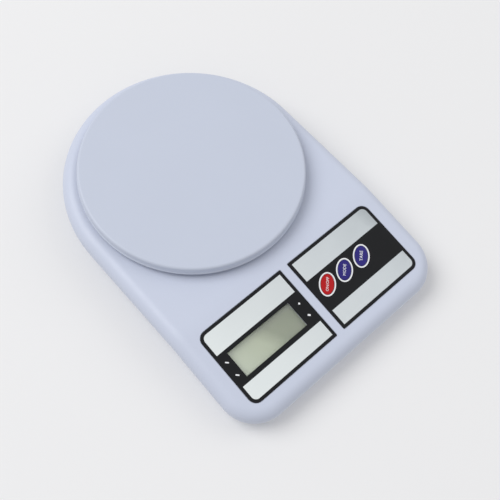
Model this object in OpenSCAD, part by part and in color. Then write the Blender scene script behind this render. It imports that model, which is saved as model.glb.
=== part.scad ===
// Digital kitchen scale: round weighing platform on a low wedge-fronted body.
// X is the width, the front edge with the display lies at -Y, and the feet stand on Z = 0.

/* [Body] */
// Width of the body at its widest line
body_w = 165; // [150:1:190]
// Length of the body, front to back
body_l = 232; // [215:1:260]
// Height of the base above the table
stand_h = 3; // [2.5:0.25:5]
// Height of the widest line, where the two shells part
seam_z = 18.5; // [17:0.25:20]
// Radius of the pillow edge above the widest line
edge_r = 8.2; // [7:0.1:10]
// Radius of the wall that curves in under the widest line
tray_r = 20; // [19:0.5:22]
// Radius of the front corners, seen from above
corner_r = 24; // [23:1:34]
// Wall of both shells
wall = 2.4; // [2:0.1:2.8]
// Thickness of the base floor
floor_t = 2.2; // [1.8:0.1:2.6]
// Tilt of the front deck
slope = 7.5; // [5:0.25:8]
// Distance from the front edge to the bend in the deck
bend_edge = 70; // [68:0.5:72]

/* [Seam] */
// Height of the tongue that the base pushes up into the cover
lip_h = 1.8; // [1:0.1:2.5]
// Thickness of the cover rim beside the tongue
rim_left = 1.1; // [0.9:0.05:1.3]
// Free space around the tongue
lip_gap = 0.15; // [0.1:0.05:0.3]

/* [Platform] */
// Diameter of the weighing platform
plate_d = 145; // [130:1:148]
// Depth of the platform rim
rim_h = 6.5; // [6:0.25:7]
// Thickness of the rim wall
rim_t = 2.4; // [1.8:0.1:3]
// Thickness of the platform top
plate_t = 2.6; // [2:0.1:3]
// Round of the top edge
plate_round = 1.6; // [0.8:0.1:2]
// Space between the rim and the deck
plate_gap = 2.8; // [2.4:0.1:3.2]
// Full travel of the platform under load
plate_travel = 0.6; // [0.3:0.05:0.7]

/* [Carrier] */
// Length of the carrier plate
carrier_l = 104; // [98:1:112]
// Width of the carrier plate
carrier_w = 74; // [68:1:80]
// Thickness of the carrier plate
carrier_t = 2.4; // [2:0.1:2.8]
// Space left between the carrier and the deck at full travel
carrier_clear = 0.3; // [0.2:0.05:0.5]
// Diameter of the platform pegs
peg_d = 6; // [5:0.5:7]
// Wall of the peg sockets
socket_wall = 2; // [1.5:0.25:2.5]
// Distance of the pegs from the centre along the width
peg_x = 42; // [38:1:44]
// Distance of the pegs from the centre along the length
peg_y = 27; // [24:1:28]

/* [Load cell] */
// Length of the load cell bar
cell_l = 80; // [76:1:90]
// Width and height of the bar
cell_s = 12.7; // [12:0.1:13]
// Spacing of the two screws at each end
cell_pitch = 15; // [14:0.5:16]
// Distance from each end to its first screw
cell_end = 5; // [5:0.25:6.5]
// Bore of the flexure holes
flexure_d = 9.8; // [8:0.1:10]
// Distance between the flexure holes
flexure_run = 14; // [12:1:16]
// Thickness of the shims under and over the bar
shim_t = 0.8; // [0.5:0.1:1]
// Height of the pedestal over the floor
pedestal_h = 1.5; // [1.2:0.1:2]

/* [Labels] */
// Width of each label
label_w = 66.5; // [62:0.5:68]
// Length of each label down the slope
label_l = 52.3; // [50:0.1:54]
// Body-coloured strip between the labels
label_split = 6; // [5:0.5:8]
// Radius of the outer label corners
label_r = 5.5; // [3:0.5:8]
// Thickness of the label film
label_t = 0.5; // [0.4:0.05:0.6]
// Depth of the label recess
label_sink = 0.35; // [0.2:0.05:0.4]
// Distance from the bend to the labels
label_bend = 5.5; // [4.5:0.25:7]
// Play of the labels in their recess
label_gap = 0.15; // [0.1:0.05:0.3]

/* [Display] */
// Width of the display opening
window_w = 48.5; // [44:0.5:50]
// Length of the display opening
window_l = 17.5; // [15:0.5:20]
// Distance of the opening from the outer label edge
window_x = 8; // [7:0.5:9]
// Distance of the opening from the rear label edge
window_v = 18.5; // [17:0.5:20]
// Overlap of the label on the clear lens
lens_lap = 2.2; // [1.5:0.1:2.5]
// Thickness of the clear lens
lens_t = 1.2; // [0.8:0.1:1.3]
// Margin of the display glass beyond the opening
glass_lap = 2.8; // [2:0.1:3]
// Thickness of the display glass
glass_t = 2.8; // [2:0.1:3]
// Space between the cover and the display glass
glass_gap = 0.6; // [0.4:0.1:0.8]
// Height of the conductive rubber strip
zebra_h = 3; // [2.8:0.1:3.4]
// Width of the conductive rubber strip
zebra_w = 2.4; // [2:0.1:3]
// Wall of the display holder
holder_wall = 1.6; // [1:0.1:1.8]

/* [Keys] */
// Half of the long axis of a key
key_a = 6.6; // [6:0.1:7]
// Half of the short axis of a key
key_b = 4.2; // [3.8:0.1:4.4]
// Radius of the pointed end of a key
key_end_r = 3.3; // [3:0.1:3.6]
// Turn of the long axis
key_tilt = 45; // [40:1:50]
// Distance between the keys
key_pitch = 14.8; // [14.5:0.1:16]
// Distance of the first key from the inner label edge
key_first = 11.1; // [10:0.1:12.5]
// Distance of the keys from the rear label edge
key_v = 25.2; // [23:0.1:29]
// Height of a key over its label
key_proud = 0.35; // [0.2:0.05:0.6]
// Play around a key
key_gap = 0.2; // [0.15:0.05:0.3]
// Width of the flange that holds a key in
key_flange = 1.2; // [0.8:0.1:1.3]
// Thickness of the flange
key_flange_t = 1; // [0.8:0.1:1.1]
// Travel of a key
key_travel = 0.4; // [0.2:0.05:0.45]

/* [Circuit board] */
// Thickness of the board
board_t = 1.6; // [1:0.1:1.8]
// Margin of the board beyond the board screws
board_edge = 3; // [2.8:0.1:3.5]
// Distance of the board screws from the display, down the slope
board_screw_v = 18.8; // [18.6:0.1:19.2]
// Side of a push switch
switch_s = 6; // [5:0.5:6.5]
// Height of a push switch
switch_h = 3.5; // [3:0.1:3.8]
// Diameter of the switch plunger
plunger_d = 3.5; // [3:0.1:3.6]
// Diameter of a capacitor
cap_d = 5; // [4:0.5:6]
// Height of a capacitor
cap_h = 5.2; // [4:0.1:5.6]
// Diameter of the resin drop over the chip
blob_d = 14; // [10:1:18]

/* [Battery bay] */
// Diameter of a battery
battery_d = 14.5; // [13.5:0.1:14.5]
// Length of a battery without its knob
battery_l = 49.2; // [48:0.1:50]
// Height of the battery knob
knob_h = 1; // [0.8:0.1:1.2]
// Diameter of the battery knob
knob_d = 5.5; // [5:0.1:6]
// Distance from the bend to the first battery
battery_run = 30; // [29:0.5:31]
// Free space beside the batteries
battery_gap = 0.45; // [0.3:0.05:0.6]
// Space between the two batteries
battery_split = 0.7; // [0.5:0.1:1]
// Wall of the battery bay
bay_wall = 1.5; // [1.2:0.1:1.8]
// Length of a pressed contact spring
spring_l = 5.6; // [5:0.1:6.5]
// Wire of a contact spring
spring_wire = 0.7; // [0.5:0.05:0.8]
// Curls of a contact spring
spring_curls = 3; // [2:1:4]
// Radius of the wide end of a contact spring
spring_r = 4.6; // [3.5:0.1:5]
// Radius of the narrow end of a contact spring
spring_tip_r = 2.6; // [2:0.1:3]
// Thickness of the contact plates
contact_t = 0.4; // [0.3:0.05:0.6]
// Thickness of the battery door
door_t = 2; // [1.6:0.1:2.1]
// Play around the battery door
door_gap = 0.3; // [0.2:0.05:0.4]
// Width of a door finger
finger_w = 6; // [4:0.5:8]
// Reach of a door finger over the floor
finger_l = 2; // [1.5:0.1:2.2]
// Thickness of a door finger
finger_t = 1.3; // [1:0.1:1.4]
// Width of the door catch
catch_w = 12; // [10:1:16]

/* [Feet and screws] */
// Diameter of the rubber feet
foot_d = 14; // [10:0.5:15]
// Depth of a foot in its pocket
foot_sink = 1.2; // [0.8:0.1:1.4]
// Distance of the rear feet from the platform centre
rear_foot_run = 62; // [58:1:64]
// Distance of the front feet from the sides
front_foot_side = 18.5; // [17:0.5:24]
// Distance of the front feet from the front edge
front_foot_edge = 22; // [21:0.5:25]
// Diameter of the housing screws
screw_d = 2.9; // [2.5:0.1:3]
// Length of the housing screws
screw_l = 8; // [7:0.5:8.5]
// Diameter of the housing screw heads
head_d = 5.5; // [5:0.1:5.8]
// Height of the housing screw heads
head_h = 2; // [1.5:0.1:2]
// Distance of the housing screws from the body edge
screw_in = 13; // [12.5:0.25:14]
// Distance of the front housing screws from the front edge
front_screw_edge = 8.5; // [8:0.1:9.5]
// Distance of the front housing screws from the middle
front_screw_x = 44; // [38:1:48]
// Diameter of the screw bosses
boss_d = 8.4; // [8.2:0.1:9]
// Diameter of the load cell screws
bolt_d = 4; // [3.5:0.1:4.2]
// Diameter of the load cell screw heads
bolt_head_d = 7.2; // [6.5:0.1:7.6]
// Height of the load cell screw heads
bolt_head_h = 2; // [1.8:0.1:2]
// Radial play of every screw in its hole
screw_gap = 0.05; // [0.02:0.01:0.1]

/* [Hidden] */
$fn = 96;

big = 600;
skirt = 60;
cut = 1;
deck_cut_h = 5;
bend_past = 15;
lip_set = 0.2;
plate_r = plate_d / 2;
plate_y = body_l / 2 - body_w / 2;
bend_y = bend_edge - body_l / 2;
bend_run = plate_y - bend_y;
slope_run = bend_edge / cos(slope);
deck_z = seam_z + edge_r;
floor_z = stand_h + floor_t;
rim_z = deck_z + plate_gap;
plate_top = rim_z + rim_h;
plate_under = plate_top - plate_t;

carrier_gap = plate_travel + carrier_clear;
carrier_z = deck_z + carrier_gap;
carrier_top = carrier_z + carrier_t;
socket_d = peg_d + 2 * socket_wall;
peg_lift = 0.3;
deck_slot_play = 2;
cell_z = floor_z + pedestal_h + shim_t;
cell_top = cell_z + cell_s;
cell_end_x = cell_l / 2 - cell_end - cell_pitch / 2;
pad_l = cell_pitch + 2 * cell_end + 2;
pad_margin = 1;
shim_in = 1.5;
bolt_engage = 8;
bolt_recess = 0.2;
bolt_head_play = 0.4;

label_v = label_bend / cos(slope);
label_x = label_split / 2;
lens_w = window_w + 2 * lens_lap;
lens_l = window_l + 2 * lens_lap;
window_cx = -label_x - label_w + window_x + window_w / 2;
window_cv = label_v + window_v + window_l / 2;
glass_w = window_w + 2 * glass_lap;
glass_l = window_l + 2 * glass_lap + 2 * zebra_w;
glass_top = -wall - glass_gap;
glass_z = glass_top - glass_t;
board_top = glass_z - zebra_h;
board_z = board_top - board_t;
holder_w = glass_w + 2 * holder_wall;
holder_l = glass_l + 2 * holder_wall;
board_screw_dx = 3;
board_screw_d = 2;
board_screw_bite = 4.5;
board_boss_d = 5.6;
board_screw_x = [
    window_cx - glass_w / 2 + board_screw_dx - holder_wall,
    -label_x,
    label_x + key_first + 2 * key_pitch + key_a + board_screw_dx
];
board_x0 = board_screw_x[0] - board_edge;
board_x1 = board_screw_x[2] + board_edge;
board_l = 2 * (board_screw_v + board_edge);

flange_gap = 0.15;
flange_top = -wall - flange_gap;
key_top = key_proud + label_t - label_sink;
stem_l = 0.75;
plunger_top = flange_top - key_flange_t - stem_l;
well_z = board_top + 1.2;
plunger_z = well_z + key_travel + 0.3;
keys_v = label_v + key_v;

battery_y = bend_y + battery_run;
battery_pitch = battery_d + battery_split;
battery_lift = 0.4;
battery_z = stand_h + door_t + battery_lift + battery_d / 2;
bay_y1 = battery_y + battery_d / 2 + battery_gap;
bay_y0 = battery_y - battery_pitch - battery_d / 2 - battery_gap;
bay_x = (battery_l + knob_h + spring_l + 2 * contact_t) / 2;
bay_top = battery_z + battery_d / 2 + battery_lift;
finger_gap = 0.1;
finger_z = floor_z + finger_gap;
finger_xs = [-16, 16];
catch_h = 3;
catch_t = 1.1;
catch_relief = 0.6;
scoop_r = 5;
scoop_depth = 1.5;
tab_w = 2.4;
tab_out = 2;
tab_rise = 3;
tab_x = -bay_x - bay_wall - tab_out;
tab_z = battery_z + tab_rise;
contact_w = 12;
contact_h = 11;

wire_d = 1.4;
cable_d = 2.4;
red_route = [[-37, -19, 15], [-44, -34, 13], [-52, -46, 11], [-55, -57, 11], [-55, -60, 13.6]];
black_route = [[-36, -36, 14], [-41, -44, 12], [-47, -54, 11], [-48, -60, 13.6]];
cable_route = [
    [-6, 20, 12], [-24, 10, 7], [-42, -4, 6.6], [-47, -24, 6.6],
    [-42, -44, 8], [-38, -56, 10], [-37, -60, 13.4]
];

foot_wall = 2;
rear_foot_x = rear_foot_run * sin(45);
foot_spots = [
    [rear_foot_x, plate_y + rear_foot_x],
    [body_w / 2 - front_foot_side, -body_l / 2 + front_foot_edge]
];
rear_screw_r = body_w / 2 - screw_in;
rear_screw_turn = 60;
mid_screw_step = 6;
rear_boss_h = 6.8;
front_boss_h = 2.8;
seat_t = 2;
head_play = 0.45;
screw_spots = [
    [
        rear_screw_r * cos(rear_screw_turn),
        plate_y + rear_screw_r * sin(rear_screw_turn),
        floor_z + rear_boss_h
    ],
    [rear_screw_r, bend_y + mid_screw_step, floor_z + rear_boss_h],
    [front_screw_x, -body_l / 2 + front_screw_edge, floor_z + front_boss_h]
];

shell_white = [0.80, 0.82, 0.90];
silver = [0.80, 0.83, 0.80];
charcoal = [0.14, 0.15, 0.17];
steel = [0.72, 0.73, 0.75];

// Frame of the tilted deck: y runs back up the slope from the bend, z stands on the deck
module on_deck() {
    on_slope()
        translate([0, 0, edge_r])
            children();
}

// Frame of the sloping stretch, at the widest line
module on_slope() {
    translate([0, bend_y, seam_z])
        rotate([slope, 0, 0])
            children();
}

// Section of the pillow edge out to radius r, on a straight skirt
module pillow_section(r, round_r) {
    translate([0, -skirt])
        square([r, skirt]);
    square([r - round_r, round_r]);
    intersection() {
        translate([r - round_r, 0])
            circle(r = round_r);
        square([r, round_r]);
    }
}

// Section of the tray wall that curves in below the seam
module tray_section(r, round_r) {
    translate([0, -round_r])
        square([r - round_r, round_r]);
    intersection() {
        translate([r - round_r, 0])
            circle(r = round_r);
        translate([0, -round_r])
            square([r, round_r]);
    }
}

// Upright section out to radius r
module upright_section(r) {
    translate([0, -skirt])
        square([r, 2 * skirt]);
}

module section(kind, r, inset) {
    if (kind == "pillow") pillow_section(r, edge_r - inset);
    if (kind == "tray") tray_section(r, tray_r - inset);
    if (kind == "upright") upright_section(r);
}

// Section from side to side
module full_section(kind, inset) {
    for (side = [0, 1])
        mirror([side, 0])
            section(kind, body_w / 2 - inset, inset);
}

// Level shape with a round back, drawn in by inset, that runs on past the bend
module level_shape(kind, inset, past) {
    translate([0, plate_y, seam_z]) {
        rotate_extrude(angle = 180)
            section(kind, body_w / 2 - inset, inset);
        rotate([90, 0, 0])
            linear_extrude(height = bend_run + past)
                full_section(kind, inset);
    }
}

// Sloping shape with round front corners, that runs on back past the bend
module sloping_shape(kind, inset, past) {
    turn = corner_r - inset;
    corner_x = body_w / 2 - corner_r;
    corner_y = corner_r - slope_run;
    on_slope() {
        translate([0, past, 0])
            rotate([90, 0, 0])
                linear_extrude(height = past - corner_y)
                    full_section(kind, inset);
        mirrored_x()
            translate([corner_x, corner_y, 0])
                rotate([0, 0, -90])
                    rotate_extrude(angle = 90)
                        section(kind, turn, inset);
        translate([corner_x, corner_y, 0])
            rotate([90, 0, -90])
                linear_extrude(height = 2 * corner_x)
                    section(kind, turn, inset);
    }
}

// Everything up to a height over the seam, which runs level and then down the slope
module under_seam(high) {
    intersection() {
        translate([-big / 2, -big / 2, seam_z + high - big])
            cube(big);
        on_slope()
            translate([-big / 2, -big / 2, high - big])
                cube(big);
    }
}

// Cover or rim shape upwards from a height over the seam
module upper_body(kind, inset, low) {
    difference() {
        intersection() {
            level_shape(kind, inset, body_l);
            sloping_shape(kind, inset, body_l);
        }
        under_seam(low);
    }
}

// Upright rim between two heights over the seam
module rim_body(inset, low, high) {
    intersection() {
        upper_body("upright", inset, low);
        under_seam(high);
    }
}

// Tray shape from the seam down to a level z
module tray_body(inset, z) {
    intersection() {
        union() {
            level_shape("tray", inset, bend_past);
            sloping_shape("tray", inset, bend_past);
        }
        under_seam(0);
        above(z);
    }
}

// Everything above a height
module above(z) {
    translate([-big / 2, -big / 2, z])
        cube(big);
}

module mirrored_x() {
    for (side = [0, 1])
        mirror([side, 0, 0])
            children();
}

// Waste piece that rounds one corner of a rectangle
module corner_waste(r) {
    if (r > 0)
        difference() {
            translate([-cut, -cut])
                square(r + cut);
            translate([r, r])
                circle(r = r);
        }
}

// Rectangle with four corner radii, counted round from its lower left corner
module rounded_rect(w, l, radii) {
    difference() {
        square([w, l]);
        corner_waste(radii[0]);
        translate([w, 0])
            mirror([1, 0])
                corner_waste(radii[1]);
        translate([w, l])
            rotate(180)
                corner_waste(radii[2]);
        translate([0, l])
            mirror([0, 1])
                corner_waste(radii[3]);
    }
}

module centred_rect(w, l, r) {
    translate([-w / 2, -l / 2])
        rounded_rect(w, l, [r, r, r, r]);
}

// Slot with round ends
module slot(l, w) {
    square([l - w, w], center = true);
    for (end = [-1, 1])
        translate([end * (l - w) / 2, 0])
            circle(d = w);
}

// Oval of four arcs: half axes a and b, end radius r
module oval(a, b, r) {
    side_r = ((a - r) * (a - r) + b * b - r * r) / (2 * (b - r));
    reach = 2 * side_r / (side_r - r);
    for (end = [-1, 1])
        translate([end * (a - r), 0])
            circle(r = r);
    for (side = [-1, 1])
        intersection() {
            translate([0, -side * (side_r - b)])
                circle(r = side_r);
            translate([0, -side * (side_r - b)])
                polygon([
                    [0, 0],
                    [reach * (a - r), side * reach * (side_r - b)],
                    [-reach * (a - r), side * reach * (side_r - b)]
                ]);
        }
}

// Places children at each housing screw, at the plane where the two bosses meet
module at_screws() {
    mirrored_x()
        for (spot = screw_spots)
            translate(spot)
                children();
}

module at_feet() {
    mirrored_x()
        for (spot = foot_spots)
            translate([spot[0], spot[1], 0])
                children();
}

// Children at both screws of one end of the load cell, side -1 free and 1 fixed
module at_cell_bolts(side) {
    for (step = [-1, 1])
        translate([side * cell_end_x + step * cell_pitch / 2, plate_y, 0])
            children();
}

module at_board_screws() {
    for (x = board_screw_x)
        for (side = [-1, 1])
            translate([x, -window_cv + side * board_screw_v, 0])
                children();
}

module at_key(index) {
    translate([label_x + key_first + index * key_pitch, -keys_v, 0])
        rotate(key_tilt)
            children();
}

module at_pegs() {
    for (x = [-peg_x, peg_x])
        for (y = [-peg_y, peg_y])
            translate([x, plate_y + y, 0])
                children();
}

// Outline of a label grown by play; side -1 is the display label and 1 the button label
module label_outline(side, play) {
    inner_r = side < 0 ? 2 : 0;
    radii = side < 0 ? [label_r, inner_r, 0, label_r] : [inner_r, label_r, label_r, inner_r];
    x0 = side < 0 ? -label_x - label_w : label_x;
    translate([x0 - play, -label_v - label_l - play])
        rounded_rect(label_w + 2 * play, label_l + 2 * play, radii);
}

module at_window() {
    translate([window_cx, -window_cv, 0])
        children();
}

module top_cover() {
    color(shell_white)
        difference() {
            union() {
                difference() {
                    upper_body("pillow", 0, 0);
                    upper_body("pillow", wall, -cut);
                    rim_body(rim_left, -cut, lip_h);
                }
                cover_bosses();
                board_bosses();
            }
            at_screws()
                translate([0, 0, -cut])
                    cylinder(d = screw_d + 2 * screw_gap, h = screw_l - seat_t + 2 * cut);
            translate([-cell_end_x, plate_y, carrier_z - big / 2])
                linear_extrude(height = big)
                    slot(pad_l + 2 * deck_slot_play, cell_s + 2 * deck_slot_play);
            on_deck()
                deck_cuts();
        }
}

// Bosses that take the housing screws
module cover_bosses() {
    intersection() {
        at_screws()
            cylinder(d = boss_d, h = big);
        upper_body("pillow", wall / 2, -seam_z);
    }
}

// Bosses that carry the circuit board
module board_bosses() {
    on_deck()
        at_board_screws()
            translate([0, 0, board_top])
                cylinder(d = board_boss_d, h = -wall / 2 - board_top);
}

// Label recesses, lens seat, display opening, key holes and board screw holes
module deck_cuts() {
    for (side = [-1, 1])
        translate([0, 0, -label_sink])
            linear_extrude(height = deck_cut_h)
                label_outline(side, label_gap);
    at_window() {
        translate([0, 0, -label_sink - lens_t])
            linear_extrude(height = deck_cut_h)
                centred_rect(lens_w + 2 * label_gap, lens_l + 2 * label_gap, 1);
        translate([0, 0, -wall - cut])
            linear_extrude(height = deck_cut_h)
                centred_rect(window_w + 1, window_l + 1, 1);
    }
    for (index = [0:2])
        at_key(index)
            translate([0, 0, -wall - cut])
                linear_extrude(height = deck_cut_h)
                    oval(key_a + key_gap, key_b + key_gap, key_end_r + key_gap);
    at_board_screws()
        translate([0, 0, board_top - cut])
            cylinder(d = board_screw_d + 2 * screw_gap, h = board_screw_bite + 0.5 + cut);
}

module base_cover() {
    color(shell_white)
        difference() {
            union() {
                difference() {
                    tray_body(0, stand_h);
                    tray_body(wall, floor_z);
                }
                seam_tongue();
                base_fittings();
            }
            base_holes();
        }
}

// Tongue along the seam that lines the base up with the cover
module seam_tongue() {
    difference() {
        rim_body(rim_left + lip_gap, -cut / 2, lip_h - lip_gap);
        rim_body(wall - lip_set, -cut, lip_h + cut);
    }
}

// What stands on the floor inside the base
module base_fittings() {
    intersection() {
        at_screws()
            translate([0, 0, -big])
                cylinder(d = boss_d, h = big);
        tray_body(wall / 2, stand_h);
    }
    at_feet()
        translate([0, 0, stand_h])
            cylinder(d = foot_d + 2 * foot_wall, h = floor_t + foot_sink);
    translate([cell_end_x, plate_y, stand_h])
        linear_extrude(height = floor_t + pedestal_h)
            slot(pad_l, cell_s + 2 * pad_margin);
    translate([-cell_end_x, plate_y, stand_h])
        cylinder(d = cell_s, h = cell_z - carrier_gap - stand_h);
    translate([-bay_x - bay_wall, bay_y0 - bay_wall, stand_h])
        cube([
            2 * (bay_x + bay_wall),
            bay_y1 - bay_y0 + 2 * bay_wall,
            bay_top + bay_wall - stand_h
        ]);
}

// Screw holes, foot pockets and the battery bay
module base_holes() {
    tab_play = 0.2;
    at_screws()
        translate([0, 0, -seat_t - big])
            cylinder(d = head_d + 2 * head_play, h = big);
    at_screws()
        translate([0, 0, -seat_t - cut])
            cylinder(d = screw_d + 2 * screw_gap, h = seat_t + 2 * cut);
    at_feet()
        translate([0, 0, stand_h - cut])
            cylinder(d = foot_d + 2 * screw_gap, h = foot_sink + cut);
    at_cell_bolts(1) {
        translate([0, 0, stand_h - cut])
            cylinder(d = bolt_head_d + 2 * bolt_head_play, h = bolt_head_h + bolt_recess + cut);
        translate([0, 0, stand_h])
            cylinder(d = bolt_d + 2 * screw_gap, h = floor_t + pedestal_h + cut);
    }
    translate([-bay_x, bay_y0, stand_h - cut])
        cube([2 * bay_x, bay_y1 - bay_y0, bay_top - stand_h + cut]);
    for (x = finger_xs)
        translate([x - finger_w / 2 - door_gap, bay_y1 - cut, floor_z])
            cube([finger_w + 2 * door_gap, bay_wall + 2 * cut, 2 * finger_l + finger_t]);
    translate([-catch_w / 2 - door_gap, bay_y0 - catch_relief, stand_h - cut])
        cube([catch_w + 2 * door_gap, cut + catch_relief, cut + door_t + catch_h + 1]);
    translate([0, bay_y0 - catch_relief, stand_h + scoop_depth - scoop_r])
        sphere(r = scoop_r);
    for (index = [0, 1])
        translate([
            -bay_x - bay_wall - cut,
            battery_y - index * battery_pitch - tab_w / 2 - tab_play,
            tab_z - tab_play / 2
        ])
            cube([bay_wall + 2 * cut, tab_w + 2 * tab_play, contact_t + tab_play]);
}

module rubber_feet() {
    chamfer = 0.8;
    color([0.30, 0.30, 0.32])
        at_feet() {
            cylinder(d1 = foot_d - 2 * chamfer, d2 = foot_d, h = chamfer);
            translate([0, 0, chamfer])
                cylinder(d = foot_d, h = stand_h + foot_sink - chamfer);
        }
}

// Cross-head screw: head below the origin, shank above it
module screw(d, l, cap_d, cap_h) {
    tip_h = 0.8;
    tip_taper = 1.2;
    difference() {
        translate([0, 0, -cap_h])
            cylinder(d = cap_d, h = cap_h);
        for (turn = [0, 90])
            rotate(turn)
                translate([-cap_d / 4, -cap_d / 16, -cap_h - cut])
                    cube([cap_d / 2, cap_d / 8, cut + cap_h * 0.6]);
    }
    cylinder(d = d, h = l - tip_h);
    translate([0, 0, l - tip_h])
        cylinder(d1 = d, d2 = d - tip_taper, h = tip_h);
}

module housing_screws() {
    color(steel)
        at_screws()
            translate([0, 0, -seat_t])
                screw(screw_d, screw_l, head_d, head_h);
}

module load_cell() {
    slit_h = 3;
    color([0.78, 0.79, 0.80])
        difference() {
            translate([-cell_l / 2, plate_y - cell_s / 2, cell_z])
                cube([cell_l, cell_s, cell_s]);
            for (side = [-1, 1]) {
                at_cell_bolts(side)
                    translate([0, 0, cell_z - cut])
                        cylinder(d = bolt_d + 2 * screw_gap, h = cell_s + 2 * cut);
                translate([side * flexure_run / 2, plate_y + cell_s, cell_z + cell_s / 2])
                    rotate([90, 0, 0])
                        cylinder(d = flexure_d, h = 2 * cell_s);
            }
            translate([-flexure_run / 2, plate_y - cell_s, cell_z + (cell_s - slit_h) / 2])
                cube([flexure_run, 2 * cell_s, slit_h]);
        }
}

// Soft white seal over the strain gauges, above and below the flexure
module gauge_sealant() {
    seal_t = 1.1;
    seal_in = 1.5;
    color([0.93, 0.93, 0.91])
        for (z = [cell_z - seal_t, cell_top])
            translate([0, plate_y, z])
                linear_extrude(height = seal_t)
                    centred_rect(flexure_run + flexure_d, cell_s - 2 * seal_in, 3);
}

// Aluminium shim with two screw holes; side 1 sits on the pedestal, -1 on the bar
module shim(side, z) {
    difference() {
        translate([side * cell_end_x, plate_y, z])
            linear_extrude(height = shim_t)
                centred_rect(pad_l - 2 * shim_in, cell_s, 1);
        at_cell_bolts(side)
            translate([0, 0, z - cut])
                cylinder(d = bolt_d + 2 * screw_gap, h = shim_t + 2 * cut);
    }
}

module base_shim() {
    color([0.70, 0.71, 0.72])
        shim(1, cell_z - shim_t);
}

module platform_shim() {
    color([0.70, 0.71, 0.72])
        shim(-1, cell_top);
}

module load_cell_base_screws() {
    color(steel)
        at_cell_bolts(1)
            translate([0, 0, stand_h + bolt_head_h + bolt_recess])
                screw(bolt_d, cell_z + bolt_engage - stand_h - bolt_head_h, bolt_head_d, bolt_head_h);
}

module carrier_screws() {
    color(steel)
        at_cell_bolts(-1)
            translate([0, 0, carrier_top])
                mirror([0, 0, 1])
                    screw(bolt_d, carrier_top - cell_top + bolt_engage, bolt_head_d, bolt_head_h);
}

// Section of the platform: flat top, rounded edge, thin rim
module platform_section() {
    difference() {
        union() {
            translate([0, rim_z])
                square([plate_r, rim_h - plate_round]);
            translate([0, rim_z])
                square([plate_r - plate_round, rim_h]);
            translate([plate_r - plate_round, plate_top - plate_round])
                circle(r = plate_round);
        }
        translate([-cut, rim_z - cut])
            square([plate_r - rim_t + cut, plate_under - rim_z + cut]);
    }
}

module weighing_platform() {
    color(shell_white) {
        translate([0, plate_y, 0]) {
            rotate_extrude()
                platform_section();
            stiffening_ribs();
        }
        at_pegs()
            translate([0, 0, carrier_top + peg_lift])
                cylinder(d = peg_d, h = plate_under - carrier_top);
    }
}

// Rings and spokes under the platform, clear of the carrier
module stiffening_ribs() {
    rib = 1.6;
    rib_drop = 2;
    rib_root = 0.5;
    ring_r = plate_r - 6;
    clear = 1.5;
    difference() {
        union() {
            translate([0, 0, plate_under - rib_drop])
                difference() {
                    cylinder(r = ring_r, h = rib_drop + rib_root);
                    translate([0, 0, -cut])
                        cylinder(r = ring_r - rib, h = rib_drop + rib_root + 2 * cut);
                }
            for (turn = [0:45:135])
                rotate(turn)
                    translate([-ring_r, -rib / 2, plate_under - rib_drop])
                        cube([2 * ring_r, rib, rib_drop + rib_root]);
        }
        translate([0, 0, plate_under - 2 * rib_drop])
            linear_extrude(height = 2 * rib_drop)
                centred_rect(carrier_l + 2 * clear, carrier_w + 2 * clear, 4);
    }
}

module platform_carrier() {
    corner = 12;
    window = [44, 14];
    window_at = [12, 22];
    bolt_play = 0.5;
    color([0.88, 0.88, 0.86])
        difference() {
            union() {
                translate([0, plate_y, carrier_z])
                    linear_extrude(height = carrier_t)
                        centred_rect(carrier_l, carrier_w, corner);
                carrier_ribs();
                at_pegs()
                    translate([0, 0, carrier_z])
                        cylinder(d = socket_d, h = plate_under - carrier_z);
                translate([-cell_end_x, plate_y, cell_top + shim_t])
                    linear_extrude(height = carrier_top - cell_top - shim_t)
                        slot(pad_l, cell_s);
            }
            at_pegs()
                translate([0, 0, carrier_top])
                    cylinder(d = peg_d + 2 * screw_gap, h = big);
            at_cell_bolts(-1) {
                translate([0, 0, cell_top])
                    cylinder(d = bolt_d + 2 * screw_gap, h = big);
                translate([0, 0, carrier_top])
                    cylinder(d = bolt_head_d + 2 * bolt_play, h = big);
            }
            for (side = [-1, 1])
                translate([window_at[0], plate_y + side * window_at[1], carrier_z - cut])
                    linear_extrude(height = carrier_t + 2 * cut)
                        slot(window[0], window[1]);
        }
}

// Ribs that stiffen the carrier between its sockets
module carrier_ribs() {
    rib = 1.8;
    rib_clear = 1;
    rib_h = plate_under - carrier_z - rib_clear;
    for (y = [-peg_y, peg_y])
        translate([-peg_x, plate_y + y - rib / 2, carrier_z])
            cube([2 * peg_x, rib, rib_h]);
    for (x = [-peg_x, peg_x])
        translate([x - rib / 2, plate_y - peg_y, carrier_z])
            cube([rib, 2 * peg_y, rib_h]);
    for (y = [-cell_s / 2, cell_s / 2])
        translate([-peg_x, plate_y + y - rib / 2, carrier_z])
            cube([2 * peg_x, rib, rib_h]);
}

module display_label() {
    color(silver)
        on_deck()
            translate([0, 0, -label_sink])
                linear_extrude(height = label_t)
                    difference() {
                        label_outline(-1, 0);
                        at_window()
                            square([window_w, window_l], center = true);
                    }
}

module button_label() {
    color(silver)
        on_deck()
            translate([0, 0, -label_sink])
                linear_extrude(height = label_t)
                    difference() {
                        label_outline(1, 0);
                        for (index = [0:2])
                            at_key(index)
                                oval(key_a + key_gap, key_b + key_gap, key_end_r + key_gap);
                    }
}

module display_lens() {
    color([0.75, 0.82, 0.80, 0.5])
        on_deck()
            at_window()
                translate([0, 0, -label_sink - lens_t])
                    linear_extrude(height = lens_t)
                        centred_rect(lens_w, lens_l, 1);
}

module display_glass() {
    color([0.66, 0.71, 0.60])
        on_deck()
            at_window()
                translate([-glass_w / 2, -glass_l / 2, glass_z])
                    cube([glass_w, glass_l, glass_t]);
}

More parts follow.
